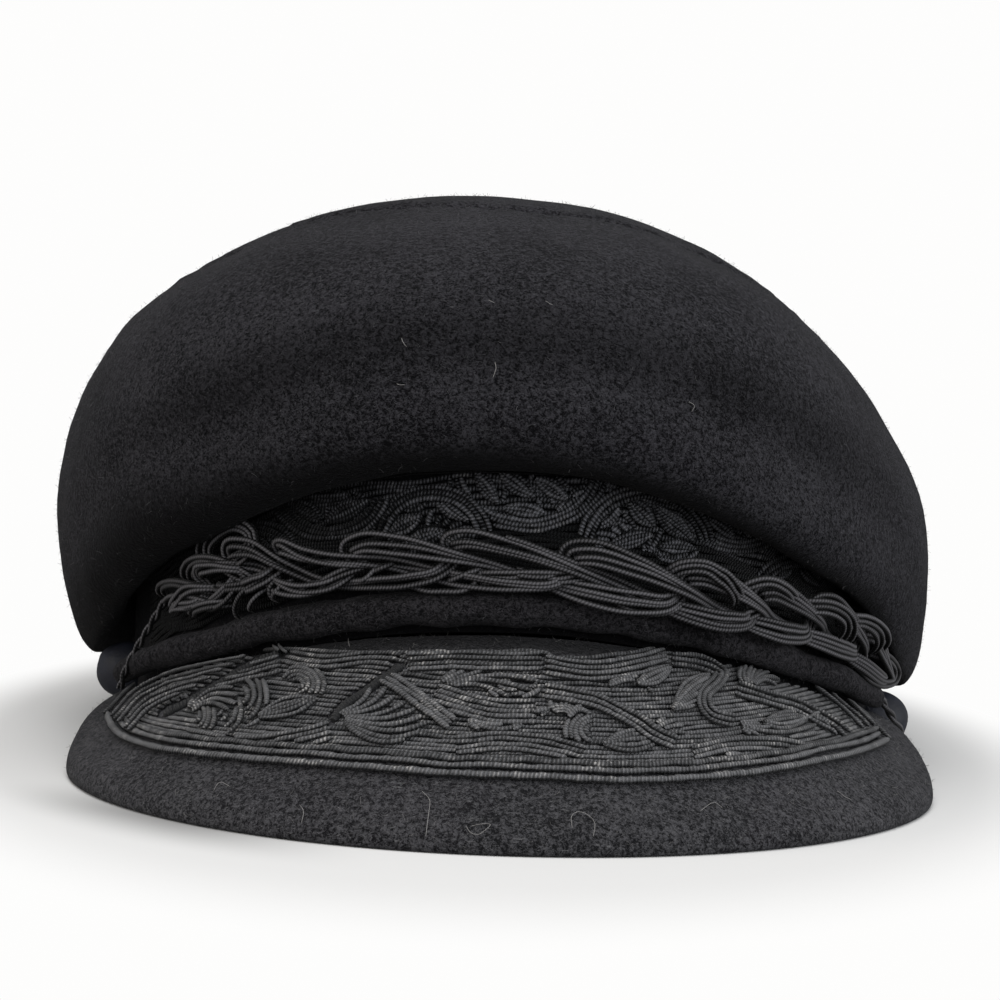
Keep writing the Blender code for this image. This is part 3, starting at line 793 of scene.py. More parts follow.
def make_soft_copy(node, name, slot, material, height, size, seed, crease=None):
    """A felt piece over a CAD node: smoothed, with small uneven swells that end at the floor."""
    mesh = smooth_copy(node, crease)
    places, normals = vertex_arrays(mesh)
    amount = height * (waves(places, size, seed) + 0.5 * waves(places, size * 0.4, seed + 1))
    floor_room = np.clip(places[:, 2] / 0.004, 0.0, 1.0)
    set_places(mesh, places + normals * (amount * floor_room)[:, None])
    piece = new_object(name, mesh, material)
    settle(piece, slot, node)
    return piece


# The roll: where its ends begin, over what length they are drawn out, and how far at the left and right
ROLL_END_FROM = 0.052
ROLL_END_LENGTH = 0.016
ROLL_LONGER = (-0.0034, 0.0022)
# The plait's shade on the roll: height over the rim, over what height it sets in, and its depth
ROLL_SHADE_FROM = 0.0064
ROLL_SHADE_OVER = 0.0016
ROLL_SHADE = 0.85
# The roll's shade on the peak: distance from the band, over what distance it ends, and its depth
PEAK_SHADE_FROM = 0.0045
PEAK_SHADE_OVER = 0.0055
PEAK_SHADE = 0.85


def make_roll(material):
    """The padded felt roll, drawn out at its ends and shaded along its top by the plait."""
    roll = make_soft_copy("band_roll", "roll_felt", "roll_felt", material, height=0.00035, size=0.012,
                          seed=43)
    places, _ = vertex_arrays(roll.data)
    over_rim = places[:, 2] - np.array([rim_height(turn) for turn in turns_of(places)])
    shades = [ROLL_SHADE * smooth_step((height - ROLL_SHADE_FROM) / ROLL_SHADE_OVER) for height in over_rim]
    set_deep_shade(roll.data, shades)
    aside = places[:, 0] - HEAD_CENTRE.x
    end = np.clip((np.abs(aside) - ROLL_END_FROM) / ROLL_END_LENGTH, 0, 1)
    places[:, 0] += np.where(aside < 0, *ROLL_LONGER) * end ** 2
    set_places(roll.data, places)


def make_peak(material):
    """The felt peak, shaded where it goes in under the roll."""
    peak = make_soft_copy("peak", "peak_felt", "peak_felt", material, height=0.00012, size=0.018, seed=47)
    places, _ = vertex_arrays(peak.data)
    set_deep_shade(peak.data, [
        PEAK_SHADE * (1 - smooth_step((out_of_band(place) - PEAK_SHADE_FROM) / PEAK_SHADE_OVER))
        for place in places])


# How much larger the buttons are than their solids, how far each moves along X, and how far up
BUTTON_GROWTH = (1.6, 1.15, 1.25)
BUTTON_MOVES = (("left", 0.0009), ("right", -0.0006))
BUTTON_RISE = 0.0004


def make_buttons(material):
    for side, move in BUTTON_MOVES:
        piece = make_soft_copy("side_button_" + side, "covered_button_" + side, "button_cloth", material,
                               height=0.0001, size=0.006, seed=53)
        places, _ = vertex_arrays(piece.data)
        middle = (places.min(axis=0) + places.max(axis=0)) / 2
        set_places(piece.data, middle + (places - middle) * BUTTON_GROWTH + (move, 0, BUTTON_RISE))


# Peak embroidery, in places of the photograph

PEAK_LOWER = ((108, 718), (113, 731), (126, 743), (158, 754), (238, 764), (359, 773), (448, 780),
              (537, 783), (626, 787), (710, 783), (775, 775), (840, 762), (870, 753), (886, 745))
PEAK_UPPER = ((106, 716), (132, 690), (168, 669), (219, 660), (279, 653), (340, 655), (400, 656), (470, 655),
              (538, 655), (560, 662), (613, 658), (661, 651), (727, 652), (775, 661), (818, 680),
              (863, 716), (889, 742))
FLAP_FOLD = ((281, 655), (258, 664), (230, 680), (205, 695), (185, 706), (165, 716))
SECOND_FOLD = ((402, 667), (384, 680), (365, 694), (345, 707), (334, 722))
FRAYED_ENDS = (
    ((263, 641), (269, 641), (276, 646), (283, 654), (290, 659)),
    ((262, 646), (270, 647), (279, 652)),
    ((266, 651), (273, 651), (282, 657)),
)

# Rows side by side along a line: points, number of rows, gap between them, lift and thickness
PEAK_BANDS = (
    (((116, 722), (137, 699), (166, 683), (205, 672), (245, 664), (280, 655)), 6, 4.6, 0.0016, 0.95),
    (((290, 657), (330, 662), (372, 657), (402, 660)), 3, 5.0, 0.0011, 0.9),
    (((408, 660), (450, 658), (500, 659), (540, 659)), 4, 5.0, 0.0012, 0.95),
    (((385, 676), (408, 690), (432, 708), (455, 726)), 3, 5.5, 0.0015, 1.05),
    (((440, 690), (470, 700), (500, 706), (535, 706)), 5, 5.2, 0.0011, 0.95),
    (((545, 662), (590, 668), (628, 664), (662, 655)), 4, 5.2, 0.0012, 0.95),
    (((544, 692), (575, 697), (601, 704), (636, 722), (654, 735), (675, 744)), 3, 5.5, 0.0015, 1.05),
    (((670, 660), (700, 664), (722, 676), (718, 690), (706, 702), (712, 716), (733, 722)),
     3, 5.2, 0.0014, 1.0),
    (((735, 688), (760, 696), (795, 706), (829, 724), (852, 742)), 3, 5.4, 0.0013, 1.0),
    (((790, 668), (818, 684), (848, 708), (878, 737)), 3, 5.2, 0.0013, 0.95),
    (((190, 735), (225, 741), (262, 742), (300, 736), (330, 728)), 4, 5.0, 0.0012, 0.95),
    (((455, 742), (500, 738), (545, 742), (585, 752)), 4, 5.2, 0.0011, 0.95),
    (((690, 752), (730, 744), (775, 744), (820, 752)), 4, 5.0, 0.0011, 0.95),
)

# Rows that spread from a point: centre, first and last angle, inner and outer reach, rows, bend, lift
PEAK_FANS = (
    ((186, 718), 2, 78, 10, 62, 8, 8, 0.0014),
    ((336, 726), -22, 58, 12, 100, 9, -10, 0.0014),
    ((425, 694), -8, 28, 14, 112, 6, 8, 0.0013),
    ((455, 728), -4, 40, 14, 88, 6, -10, 0.0013),
    ((560, 724), 10, 120, 8, 40, 9, 6, 0.0014),
    ((598, 690), -12, 42, 10, 72, 6, 8, 0.0013),
    ((742, 694), 12, 96, 8, 42, 8, 6, 0.0013),
    ((726, 733), -14, 34, 14, 96, 6, -8, 0.0013),
    ((640, 752), 14, 74, 8, 52, 6, 6, 0.0012),
)

# Nested arcs like scallops: centre, first and last angle, reach of the innermost and outermost, rows,
# squash and lift
PEAK_SCALLOPS = (
    ((196, 722), -60, 70, 8, 22, 4, 1.0, 0.0013),
    ((219, 715), -64, 66, 8, 26, 4, 1.0, 0.0014),
    ((246, 703), -76, 72, 6, 24, 4, 1.3, 0.0016),
    ((300, 690), -80, 150, 6, 26, 5, 0.8, 0.0012),
    ((384, 740), 20, 170, 8, 30, 5, 0.7, 0.0012),
    ((512, 684), 180, 355, 6, 30, 5, 0.7, 0.0013),
    ((590, 738), 90, 268, 6, 26, 5, 0.9, 0.0014),
    ((776, 672), 10, 170, 5, 24, 4, 0.7, 0.0013),
    ((800, 738), 20, 165, 8, 28, 4, 0.6, 0.0012),
)

# Leaves: their two tips, breadth, rows and lift
PEAK_LEAVES = (
    ((670, 716), (712, 680), 24, 7, 0.0015),
    ((602, 750), (664, 742), 20, 5, 0.0013),
    ((262, 722), (318, 704), 16, 5, 0.0013),
    ((506, 724), (548, 716), 15, 5, 0.0013),
    ((760, 728), (806, 722), 16, 5, 0.0012),
    ((636, 690), (668, 674), 14, 4, 0.0013),
)

# Front embroidery, on the band over the plait: arches and swags as scallops, and leaves and fans, in the
# same columns
FRONT_ARCHES = (
    ((262, 560), 14, 166, 32, 44, 3, 0.85, 0.0012),
    ((333, 492), 188, 352, 46, 58, 3, 0.80, 0.0011),
    ((434, 540), 10, 172, 46, 58, 3, 0.92, 0.0013),
    ((527, 466), 192, 348, 66, 78, 3, 0.82, 0.0012),
    ((642, 548), 8, 168, 54, 66, 3, 0.95, 0.0013),
    ((735, 508), 190, 330, 42, 54, 3, 0.80, 0.0011),
    ((792, 596), 20, 150, 34, 46, 3, 0.90, 0.0012),
)
FRONT_LEAVES = (
    ((238, 545), (262, 530), 12, 4, 0.0013), ((262, 529), (290, 548), 13, 4, 0.0014),
    ((296, 502), (326, 520), 13, 4, 0.0013), ((330, 521), (372, 500), 14, 4, 0.0014),
    ((316, 497), (352, 494), 9, 3, 0.0012),
    ((402, 510), (434, 495), 13, 4, 0.0014), ((436, 494), (470, 520), 16, 5, 0.0015),
    ((388, 534), (424, 516), 12, 4, 0.0013), ((404, 546), (446, 530), 12, 4, 0.0012),
    ((476, 472), (498, 503), 13, 4, 0.0013), ((498, 470), (534, 497), 14, 4, 0.0014),
    ((504, 508), (548, 516), 14, 4, 0.0013), ((536, 478), (566, 498), 13, 4, 0.0012),
    ((556, 510), (598, 484), 15, 5, 0.0014), ((572, 474), (604, 474), 11, 3, 0.0012),
    ((586, 530), (620, 503), 15, 5, 0.0014), ((624, 498), (650, 526), 14, 4, 0.0014),
    ((606, 546), (648, 534), 12, 4, 0.0012), ((650, 506), (688, 540), 15, 5, 0.0013),
    ((656, 546), (690, 548), 10, 3, 0.0012),
    ((700, 516), (732, 540), 14, 4, 0.0013), ((722, 508), (764, 528), 13, 4, 0.0012),
    ((764, 578), (790, 562), 12, 4, 0.0013), ((792, 563), (820, 588), 13, 4, 0.0013),
)
FRONT_FANS = (
    ((434, 552), 16, 164, 14, 62, 13, 7, 0.0011),
    ((642, 560), 14, 160, 14, 72, 15, -7, 0.0011),
    ((500, 458), 270, 345, 12, 90, 9, 8, 0.0010),
    ((560, 458), 195, 262, 12, 84, 8, -8, 0.0010),
    ((330, 492), 198, 342, 8, 60, 12, 6, 0.0010),
    ((738, 508), 198, 336, 8, 54, 11, 6, 0.0010),
)


# Steps between a row's points in the picture: for most rows, for leaves and for the panel's edges
ROW_STEP = 3.2
LEAF_STEP = 3.0
EDGE_STEP = 3.4
# Height of a fan as a share of its breadth, as the low camera sees it
FAN_SQUASH = 0.68
# Left and right bounds in the picture of the panel's ground rows and of the figures on them
GROUND_SIDES = (110, 887)
FIGURE_SIDES = (112, 884)
# Breadth in the picture of the panel's border, which keeps figures out from some x on
BORDER_BREADTH = 21
BORDER_FROM = 150
# The border's rows from the outside in: distances from the edge, lift, thickness, wander, and the painted
# shade of the one that stands for a dark groove
PEAK_BORDER = (
    ((2.5,), 0.0010, 1.25, 0.2, None),
    ((7.2,), 0.0002, 0.8, 0.2, -0.7),
    ((12.4, 18.2), 0.0009, 1.2, 0.7, None),
)
# Dark rows laid in the folds' grooves as painted shadow, and their thickness
PEAK_FOLDS = ((FLAP_FOLD, 2.2), (SECOND_FOLD, 1.8))
FOLD_SHADE = -1.2
# The fine rows between the figures: distances from the edge
FINE_REACHES = np.arange(23.0, 132, 4.5)
# How far round the band's front its rows go, in degrees to each side, and how many there are
FRONT_END = 56.5
FRONT_ROWS = 19


def band_rows(points, count, gap, lift, thick):
    """Rows side by side along a line."""
    line = smooth_line(points, ROW_STEP)
    return [(beside(line, -gap * k), lift, thick) for k in range(count)]


def fan_rows(centre, first, last, inner, outer, count, bend, lift):
    """Bent rows that spread from a point, shorter to both sides."""
    rows = []
    for k, degrees in enumerate(np.linspace(first, last, count)):
        turn = math.radians(degrees)
        reach = outer * (1 - 0.25 * abs(2 * k / (count - 1) - 1) ** 2)
        way = np.array((math.cos(turn), -math.sin(turn) * FAN_SQUASH))
        cross = np.array((way[1], -way[0]))
        points = []
        for r in np.linspace(inner, reach, 5):
            bow = bend * math.sin(math.pi * (r - inner) / (reach - inner))
            points.append(np.array(centre) + way * r + cross * bow)
        rows.append((smooth_line(points, ROW_STEP), lift, 1.0))
    return rows


def scallop_rows(centre, first, last, inner, outer, count, squash, lift):
    """Nested arcs, the inner ones a little higher."""
    rows = []
    for k in range(count):
        reach = inner + (outer - inner) * k / (count - 1)
        line = smooth_line(arc(centre, reach, first, last, squash), ROW_STEP)
        rows.append((line, lift + 0.0002 * (1 - k / count), 0.95))
    return rows


def leaf_rows(start, end, breadth, count, lift):
    """Rows from one tip of a leaf to the other, the middle ones a little higher."""
    start, end = np.array(start, float), np.array(end, float)
    along = end - start
    cross = np.array((along[1], -along[0])) / np.linalg.norm(along)
    rows = []
    for k in range(count):
        aside = 2 * k / (count - 1) - 1
        bulge = breadth * aside / 2
        points = [start + along * t + cross * bulge * math.sin(math.pi * t) for t in np.linspace(0, 1, 5)]
        rows.append((smooth_line(points, LEAF_STEP), lift + 0.0003 * (1 - abs(aside)), 0.9))
    return rows


def height_at(line, x):
    line = np.asarray(line, float)
    return np.interp(x, line[:, 0], line[:, 1])


def gap_to(line, points):
    """Distance in the picture from points to a line."""
    dense = smooth_line(line, 2.0)
    return np.min(np.linalg.norm(np.asarray(points)[:, None, :] - dense[None, :, :], axis=2), axis=1)


def shaken(line, chance, amount):
    """A picture line with a slight uneven wander, as hand-laid cord has."""
    steps = np.arange(len(line))[:, None]
    drift = np.zeros((len(line), 2))
    for _ in range(3):
        drift += (np.sin(steps * chance.uniform(0.12, 0.5) + chance.uniform(0, 6.3, (1, 2)))
                  * chance.normal(size=(1, 2)))
    return np.asarray(line) + drift * amount / 1.7


def carried_rows(ground, rows, chance, shake, shade=None):
    """Rows of the picture laid on a surface as runs, each with its own random tone unless a painted shade is
    given.
    """
    runs = []
    for line, lift, thick in rows:
        line = shaken(line, chance, shake)
        own_shade = chance.uniform(0.15, 1.0)
        for points in ground.carry(line, lift + chance.uniform(-0.0001, 0.0001)):
            runs.append({"points": points, "shade": own_shade if shade is None else shade,
                         "thick": thick * chance.uniform(0.9, 1.1)})
    return runs


def below_upper_edge(line, room, sides):
    """Which points of a line are below the panel's upper edge, and between two sides."""
    return ((line[:, 1] > height_at(PEAK_UPPER, line[:, 0]) + room)
            & (line[:, 0] > sides[0]) & (line[:, 0] < sides[1]))


def peak_ground_rows(reaches, lift, thick):
    """Rows beside the panel's outer edge, at some distances from it in the picture."""
    lower = smooth_line(PEAK_LOWER, EDGE_STEP)
    rows = []
    for reach in reaches:
        line = beside(lower, reach)
        keep = below_upper_edge(line, 2.5, GROUND_SIDES)
        rows += [(np.array(run), lift, thick) for run in split_runs(line, keep)]
    return rows


def inside_panel(rows):
    """The rows cut off where they leave the panel or come to a fold."""
    kept = []
    for line, lift, thick in rows:
        line = np.asarray(line)
        keep = below_upper_edge(line, 1.5, FIGURE_SIDES)
        keep &= (line[:, 1] < height_at(PEAK_LOWER, line[:, 0]) - BORDER_BREADTH) | (line[:, 0] < BORDER_FROM)
        keep &= (gap_to(FLAP_FOLD, line) > 4.5) & (gap_to(SECOND_FOLD, line) > 4.0)
        kept += [(np.array(run), lift, thick) for run in split_runs(line, keep)]
    return kept


def laid_in_order(groups, gap):
    """All the runs, each cut off where it comes close to one of an earlier group."""
    taken = []
    kept = []
    for runs in groups:
        tree = KDTree(len(taken))
        for i, place in enumerate(taken):
            tree.insert(place, i)
        tree.balance()
        fresh = []
        for run in runs:
            clear = [not taken or tree.find(place)[2] > gap for place, _ in run["points"]]
            fresh += [{**run, "points": part} for part in split_runs(run["points"], clear, least=3)]
        kept += fresh
        taken += [place for run in fresh for place, _ in run["points"]]
    return kept


def make_peak_embroidery(sizes, peak, material):
    """The panel's border, its folds, its figures in order, and fine rows where nothing else lies."""
    ground = Ground(peak)
    chance = np.random.default_rng(11)
    groups = [carried_rows(ground, peak_ground_rows(reaches, lift, thick), chance, shake, shade)
              for reaches, lift, thick, shake, shade in PEAK_BORDER]
    upper = [(smooth_line(PEAK_UPPER, EDGE_STEP), 0.0008, 0.95)]
    groups.append(carried_rows(ground, upper, chance, 0.4))
    frayed = [(smooth_line(line, 2.0), 0.0014, 0.7) for line in FRAYED_ENDS]
    groups.append(carried_rows(ground, frayed, chance, 0.2))
    # The folds get dark rows, as painted shadow in their grooves
    for fold, thick in PEAK_FOLDS:
        rows = [(smooth_line(fold, 3.0), 0.0002, thick)]
        groups.append(carried_rows(ground, rows, chance, 0.2, FOLD_SHADE))
    for rows_of, table in ((band_rows, PEAK_BANDS), (leaf_rows, PEAK_LEAVES), (fan_rows, PEAK_FANS),
                           (scallop_rows, PEAK_SCALLOPS)):
        for entry in table:
            groups.append(carried_rows(ground, inside_panel(rows_of(*entry)), chance, 0.45))
    runs = laid_in_order(groups, sizes.row_width * 0.66)
    fine = inside_panel(peak_ground_rows(FINE_REACHES, 0.0004, 0.86))
    runs += carried_rows(ground, fine, chance, 0.5)
    piece = lay_cords("peak_cording", runs, material, sizes.row_width, sizes.row_depth, 6, 0.11)
    settle(piece, "peak_cord", "peak_embroidery")


def front_ground_rows(chance):
    """Level rows all over the band's front, with painted shade low down behind the plait and towards the ends
    under the crown's overhang.
    """
    rows = []
    for k in range(FRONT_ROWS):
        share = (k + 0.5) / FRONT_ROWS
        line = []
        for angle in np.arange(-FRONT_END, FRONT_END + 0.1, 0.36):
            low = rim_height(angle) + 0.0092
            high = rim_height(angle) + BAND_HEIGHT - 0.0012
            swell = 0.0005 * math.sin(angle * 0.5 + k * 0.9)
            line.append((at_band(angle, 0.0005, low + (high - low) * share + swell), band_way(angle)))
        angles = np.linspace(-FRONT_END, FRONT_END, len(line))
        # Painted shade: rows go dark towards both ends, more on the left, and low down behind the plait
        shade = chance.uniform(0.1, 0.4) - np.clip((np.abs(angles) - 30) / 8, 0, 1) * 1.4
        shade -= 1.0 * np.clip((-angles - 6) / 20, 0, 1) + 1.6 * smooth_step((0.66 - share) / 0.14)
        rows.append({"points": line, "shade": shade})
    return rows


def on_front_panel(place):
    angle = turn_at(place)
    above = place.z - rim_height(angle)
    return abs(angle) < 57 and 0.008 < above < BAND_HEIGHT - 0.0008


def overhang_shade(points):
    """How much painted shade each place of a row gets, most towards the ends that the crown hangs over."""
    turns = [turn_at(place) for place, _ in points]
    return np.interp(turns, (-40, -27, -14, -2, 10, 24, 46), (2.0, 1.5, 0.7, 0.1, 0.15, 0.45, 1.1))


def make_front_embroidery(sizes, band, material):
    """Level rows all over the panel, and arches, leaves and fans on them where the crown shows it."""
    chance = np.random.default_rng(23)
    rows = front_ground_rows(chance)
    ground = Ground(band)
    groups = []
    for rows_of, table in ((scallop_rows, FRONT_ARCHES), (leaf_rows, FRONT_LEAVES), (fan_rows, FRONT_FANS)):
        for entry in table:
            group = []
            for run in carried_rows(ground, rows_of(*entry), chance, 0.6):
                on_panel = [on_front_panel(place) for place, _ in run["points"]]
                group += [{**run, "points": part} for part in split_runs(run["points"], on_panel)]
            groups.append(group)
    # Painted shade under the crown's overhang is taken off each run's tone
    runs = [{**run, "shade": run["shade"] - overhang_shade(run["points"])}
            for run in laid_in_order(groups, sizes.row_width * 0.6)]
    piece = lay_cords("front_cording", rows + runs, material, sizes.row_width, sizes.row_depth, 6, 0.10)
    settle(piece, "front_cord", "front_embroidery")


# Plait

# The embroidered panel's thickness, the gap between neighbouring solids, and the plait's and its strands'
# height and depth
PANEL_THICK = 0.0012
GAP = 0.0003
BRAID_HEIGHT = 0.0104
BRAID_DEPTH = 0.0066
STRAND_WIDTH = 0.0036
STRAND_DEPTH = 0.0024
BRAID_OUT = PANEL_THICK + 2 * GAP + BRAID_DEPTH / 2
# Angle, height over the rim as a share of the band's, how far it hangs forward, size, turns, slack
BRAID_ROUTE = (
    (-42, 0.440, 0.00, 0.80, 0.28, 1.0),
    (-35, 0.510, 0.00, 0.95, 0.59, 1.0),
    (-28, 0.600, 0.00, 1.00, 1.05, 1.0),
    (-20, 0.475, 0.00, 1.00, 1.40, 0.9),
    (-12, 0.475, 0.00, 1.00, 1.65, 0.8),
    (-4, 0.465, 0.15, 1.00, 1.92, 0.7),
    (4, 0.430, 0.42, 1.00, 2.15, 0.6),
    (12, 0.400, 0.62, 1.00, 2.38, 0.5),
    (20, 0.380, 0.68, 1.00, 2.64, 0.4),
    (30, 0.410, 0.50, 1.00, 3.03, 0.3),
    (44, 0.430, 0.20, 0.95, 3.45, 0.2),
    (53, 0.370, 0.12, 0.82, 3.70, 0.15),
    (60, 0.310, 0.12, 0.68, 3.90, 0.1),
)

# One strand's crossing: phase, height and depth from -1 to 1, spread of its cords, and its shift along
# the plait as a share of a crossing
BRAID_CROSSING = (
    (0.00, 0.85, 0.35, 1.15, -0.055),
    (0.05, 1.15, 0.95, 1.15, -0.062),
    (0.15, 0.90, 1.00, 0.90, -0.035),
    (0.30, 0.15, 0.75, 0.42, 0.000),
    (0.42, -0.35, -0.70, 0.40, 0.004),
    (0.55, -0.80, -0.70, 0.55, 0.000),
    (0.68, -1.02, 0.65, 0.85, 0.000),
    (0.80, -1.02, 1.00, 0.90, 0.008),
    (0.89, -0.70, 0.60, 0.75, 0.022),
    (0.95, 0.05, -0.50, 0.90, 0.006),
)

# Loose cords, in places of the photograph: points, how far they stand out, and how many lie together
LOOSE_CORDS = (
    (((213, 566), (212, 548), (222, 536), (238, 530), (251, 536), (246, 548), (231, 558), (219, 568)),
     0.0032, 3),
    (((194, 582), (196, 571), (208, 567), (225, 569), (238, 577), (245, 584)), 0.0034, 3),
    (((164, 597), (166, 588), (180, 585), (198, 589), (211, 594)), 0.0036, 2),
    (((162, 604), (176, 597), (200, 598), (214, 602)), 0.0038, 1),
    (((194, 619), (200, 612), (215, 607), (230, 606)), 0.0040, 2),
    (((214, 586), (222, 590), (240, 589), (258, 587)), 0.0042, 2),
    (((238, 620), (239, 609), (247, 596), (258, 585), (268, 577)), 0.0046, 1),
    (((251, 612), (258, 600), (266, 588)), 0.0040, 1),
    (((276, 603), (274, 590), (279, 576)), 0.0038, 1),
    (((273, 600), (281, 592), (291, 580)), 0.0044, 1),
    (((294, 597), (308, 588), (320, 580)), 0.0040, 1),
    (((318, 592), (334, 582), (350, 574), (368, 566)), 0.0042, 2),
    (((358, 583), (370, 576), (379, 566)), 0.0040, 1),
    (((374, 574), (384, 568), (392, 563)), 0.0036, 1),
    (((408, 588), (434, 590), (458, 592), (474, 584), (483, 570)), 0.0040, 1),
    (((446, 581), (462, 577), (480, 568)), 0.0038, 1),
    (((480, 583), (520, 582), (560, 582), (592, 578)), 0.0036, 3),
    (((571, 586), (600, 597), (640, 602), (672, 593), (698, 588)), 0.0038, 1),
    (((617, 604), (640, 613), (664, 612), (684, 604)), 0.0036, 1),
    (((674, 613), (702, 621), (735, 620), (758, 612), (764, 602)), 0.0036, 2),
    (((668, 579), (677, 571), (692, 570), (706, 579), (721, 593), (732, 607)), 0.0085, 3),
    (((734, 594), (744, 585), (758, 583), (775, 592), (790, 605)), 0.0080, 2),
    (((797, 612), (812, 611), (824, 619), (829, 631), (830, 645)), 0.0085, 3),
    (((840, 626), (851, 626), (860, 637), (864, 656)), 0.0080, 3),
    (((858, 668), (866, 681), (878, 687), (889, 682), (893, 669), (887, 657), (875, 650)), 0.0040, 2),
)


def route_value(column, angle):
    """A column of the plait's route table at an angle."""
    return curve_value([row[0] for row in BRAID_ROUTE], [row[column] for row in BRAID_ROUTE], angle)


def route_at(share):
    """Middle of the plait, the way out, and its size, turns and slack at a share of its way."""
    first, last = BRAID_ROUTE[0][0], BRAID_ROUTE[-1][0]
    angle = first + (last - first) * share
    up, out, size, turns, slack = (route_value(column, angle) for column in range(1, 6))
    place = at_band(angle, BRAID_OUT + out * BRAID_DEPTH, rim_height(angle) + up * BAND_HEIGHT)
    return place, band_way(angle).normalized(), size, turns, slack


def cycle_value(column, phase):
    """A column of the plait's crossing table at a phase of the crossing."""
    rows = BRAID_CROSSING
    phases = [rows[-2][0] - 1, rows[-1][0] - 1, *(row[0] for row in rows), rows[0][0] + 1, rows[1][0] + 1]
    values = [row[column] for row in (rows[-2], rows[-1], *rows, rows[0], rows[1])]
    return curve_value(phases, values, phase)


def strand_place(strand, share):
    """Middle of a strand, the way out, its size and slack, and how far its cords spread."""
    place, way, size, turns, slack = route_at(share)
    ahead = (route_at(share + 0.002)[0] - route_at(share - 0.002)[0]).normalized()
    rise = -ahead.cross(way)
    phase = (turns + strand / 3 - 0.25) % 1.0
    before, after = route_at(share - 0.01), route_at(share + 0.01)
    period = (after[0] - before[0]).length / (after[3] - before[3])
    swing, forward, spread, back = (cycle_value(column, phase) for column in range(1, 5))
    gather = smooth_step(share / 0.06) * (0.25 + 0.75 * smooth_step((1 - share) / 0.06))
    place = place + rise * (size * gather * (BRAID_HEIGHT - STRAND_WIDTH) / 2 * swing)
    place += way * (size * (BRAID_DEPTH - STRAND_DEPTH) / 2 * forward)
    place += ahead * (period * back * gather)
    end = smooth_step(share / 0.05) * smooth_step((1 - share) / 0.06)
    return place, way, size, slack, spread * (0.35 + 0.65 * end)


def make_plait(sizes, material):
    """Three strands of cords side by side, and the loose cords among them."""
    chance = np.random.default_rng(31)
    runs = []
    steps = 420
    late_start = round(0.42 * steps)
    for strand in range(3):
        places = [strand_place(strand, i / steps) for i in range(steps + 1)]
        centres = [p[0] for p in places]
        count = sizes.cords_in_strand
        for k in range(count):
            lane = k - (count - 1) / 2
            strays = [(chance.uniform(0.03, 0.09), chance.uniform(0, 6.3), chance.normal() * 0.5)
                      for _ in range(3)]
            points = []
            for i, (centre, way, size, slack, spread) in enumerate(places):
                ahead = (centres[min(i + 1, steps)] - centres[max(i - 1, 0)]).normalized()
                side = ahead.cross(way).normalized()
                stray = sum(a * math.sin(w * i + p) for w, p, a in strays) * 0.0007 * slack
                gap = size * sizes.cord_diameter * spread * (1 + 0.2 * slack)
                tuck = 0.0006 * max(0.0, 0.75 - spread)
                deep = (tuck if k % 2 else -tuck) + stray * 0.4
                points.append((centre + side * (lane * gap + stray) + way * deep, way))
            # The first cord of each strand joins late, because the plait is thin at its left end
            runs.append({"points": points if k else points[late_start:], "shade": chance.uniform(0.1, 1.0)})
    runs += loose_runs(chance)
    piece = lay_cords("plait_cords", runs, material, sizes.cord_diameter, sizes.cord_diameter, 8)
    settle(piece, "plait_cord", "braid_strand_1", "braid_strand_2", "braid_strand_3")


def plait_wall():
    """The curved wall, in the middle of the plait, that loose cords are carried to."""
    mesh = bpy.data.meshes.new("plait_wall")
    places, faces = [], []
    for i, angle in enumerate(np.arange(-100, 100.1, 2.0)):
        forward = route_value(2, min(BRAID_ROUTE[-1][0], max(BRAID_ROUTE[0][0], angle)))
        for height in (-0.02, 0.1):
            places.append(tuple(at_band(angle, BRAID_OUT + forward * BRAID_DEPTH, height)))
        if i:
            faces.append((2 * i - 2, 2 * i, 2 * i + 1, 2 * i - 1))
    mesh.from_pydata(places, [], faces)
    wall = bpy.data.objects.new("plait_wall", mesh)
    ground = Ground(wall)
    bpy.data.objects.remove(wall, do_unlink=True)
    return ground


def loose_runs(chance):
    """Loose cords that rise out of the plait and go back into it."""
    ground = plait_wall()
    runs = []
    for points, stand, together in LOOSE_CORDS:
        line = smooth_line(points, 3.0)
        for k in range(together):
            shaken_line = shaken(beside(line, 5.2 * k), chance, 0.6)
            shares = np.linspace(0, 1, len(line))
            lift = -0.0008 + (stand * 0.55 + 0.0002 * k) * np.sin(math.pi * shares) ** 0.5
            for run in ground.carry(shaken_line, lift):
                runs.append({"points": run, "shade": chance.uniform(0.2, 1.0)})
    return runs


# The cord ends: side, places of the photograph from the plait out, and how far the far end stands out
TIE_LINES = (
    ("left", ((166, 600), (160, 615), (153, 634), (146, 653), (141, 671), (139, 688)), 0.0040),
    ("right", ((876, 692), (882, 706), (888, 722), (893, 738)), 0.0025),
)
# How far each of a tie's two cords is from its middle, and how much it winds from point to point
TIE_RADIUS = 0.0004
TIE_TWIST = 0.55


def make_ties(sizes, material):
    """Two thin cords wound round each other, from each end of the plait."""
    ground = plait_wall()
    for side, points, lift in TIE_LINES:
        line = smooth_line(points, 2.5)
        run = ground.carry(line, np.linspace(0.0, lift, len(line)))[0]
        runs = []
        for k in range(2):
            wound = []
            for i, (place, way) in enumerate(run):
                ahead = (run[min(i + 1, len(run) - 1)][0] - run[max(i - 1, 0)][0]).normalized()
                across = ahead.cross(way).normalized()
                turn = i * TIE_TWIST + k * math.pi
                wound.append((place + (across * math.cos(turn) + way * math.sin(turn)) * TIE_RADIUS, way))
            runs.append({"points": wound, "shade": 0.8 - 0.3 * k, "thick": 0.95})
        piece = lay_cords("tie_cord_" + side, runs, material, sizes.cord_diameter, sizes.cord_diameter, 8)
        settle(piece, "tie_cord", "braid_tie_" + side)


# Loose wool fibres

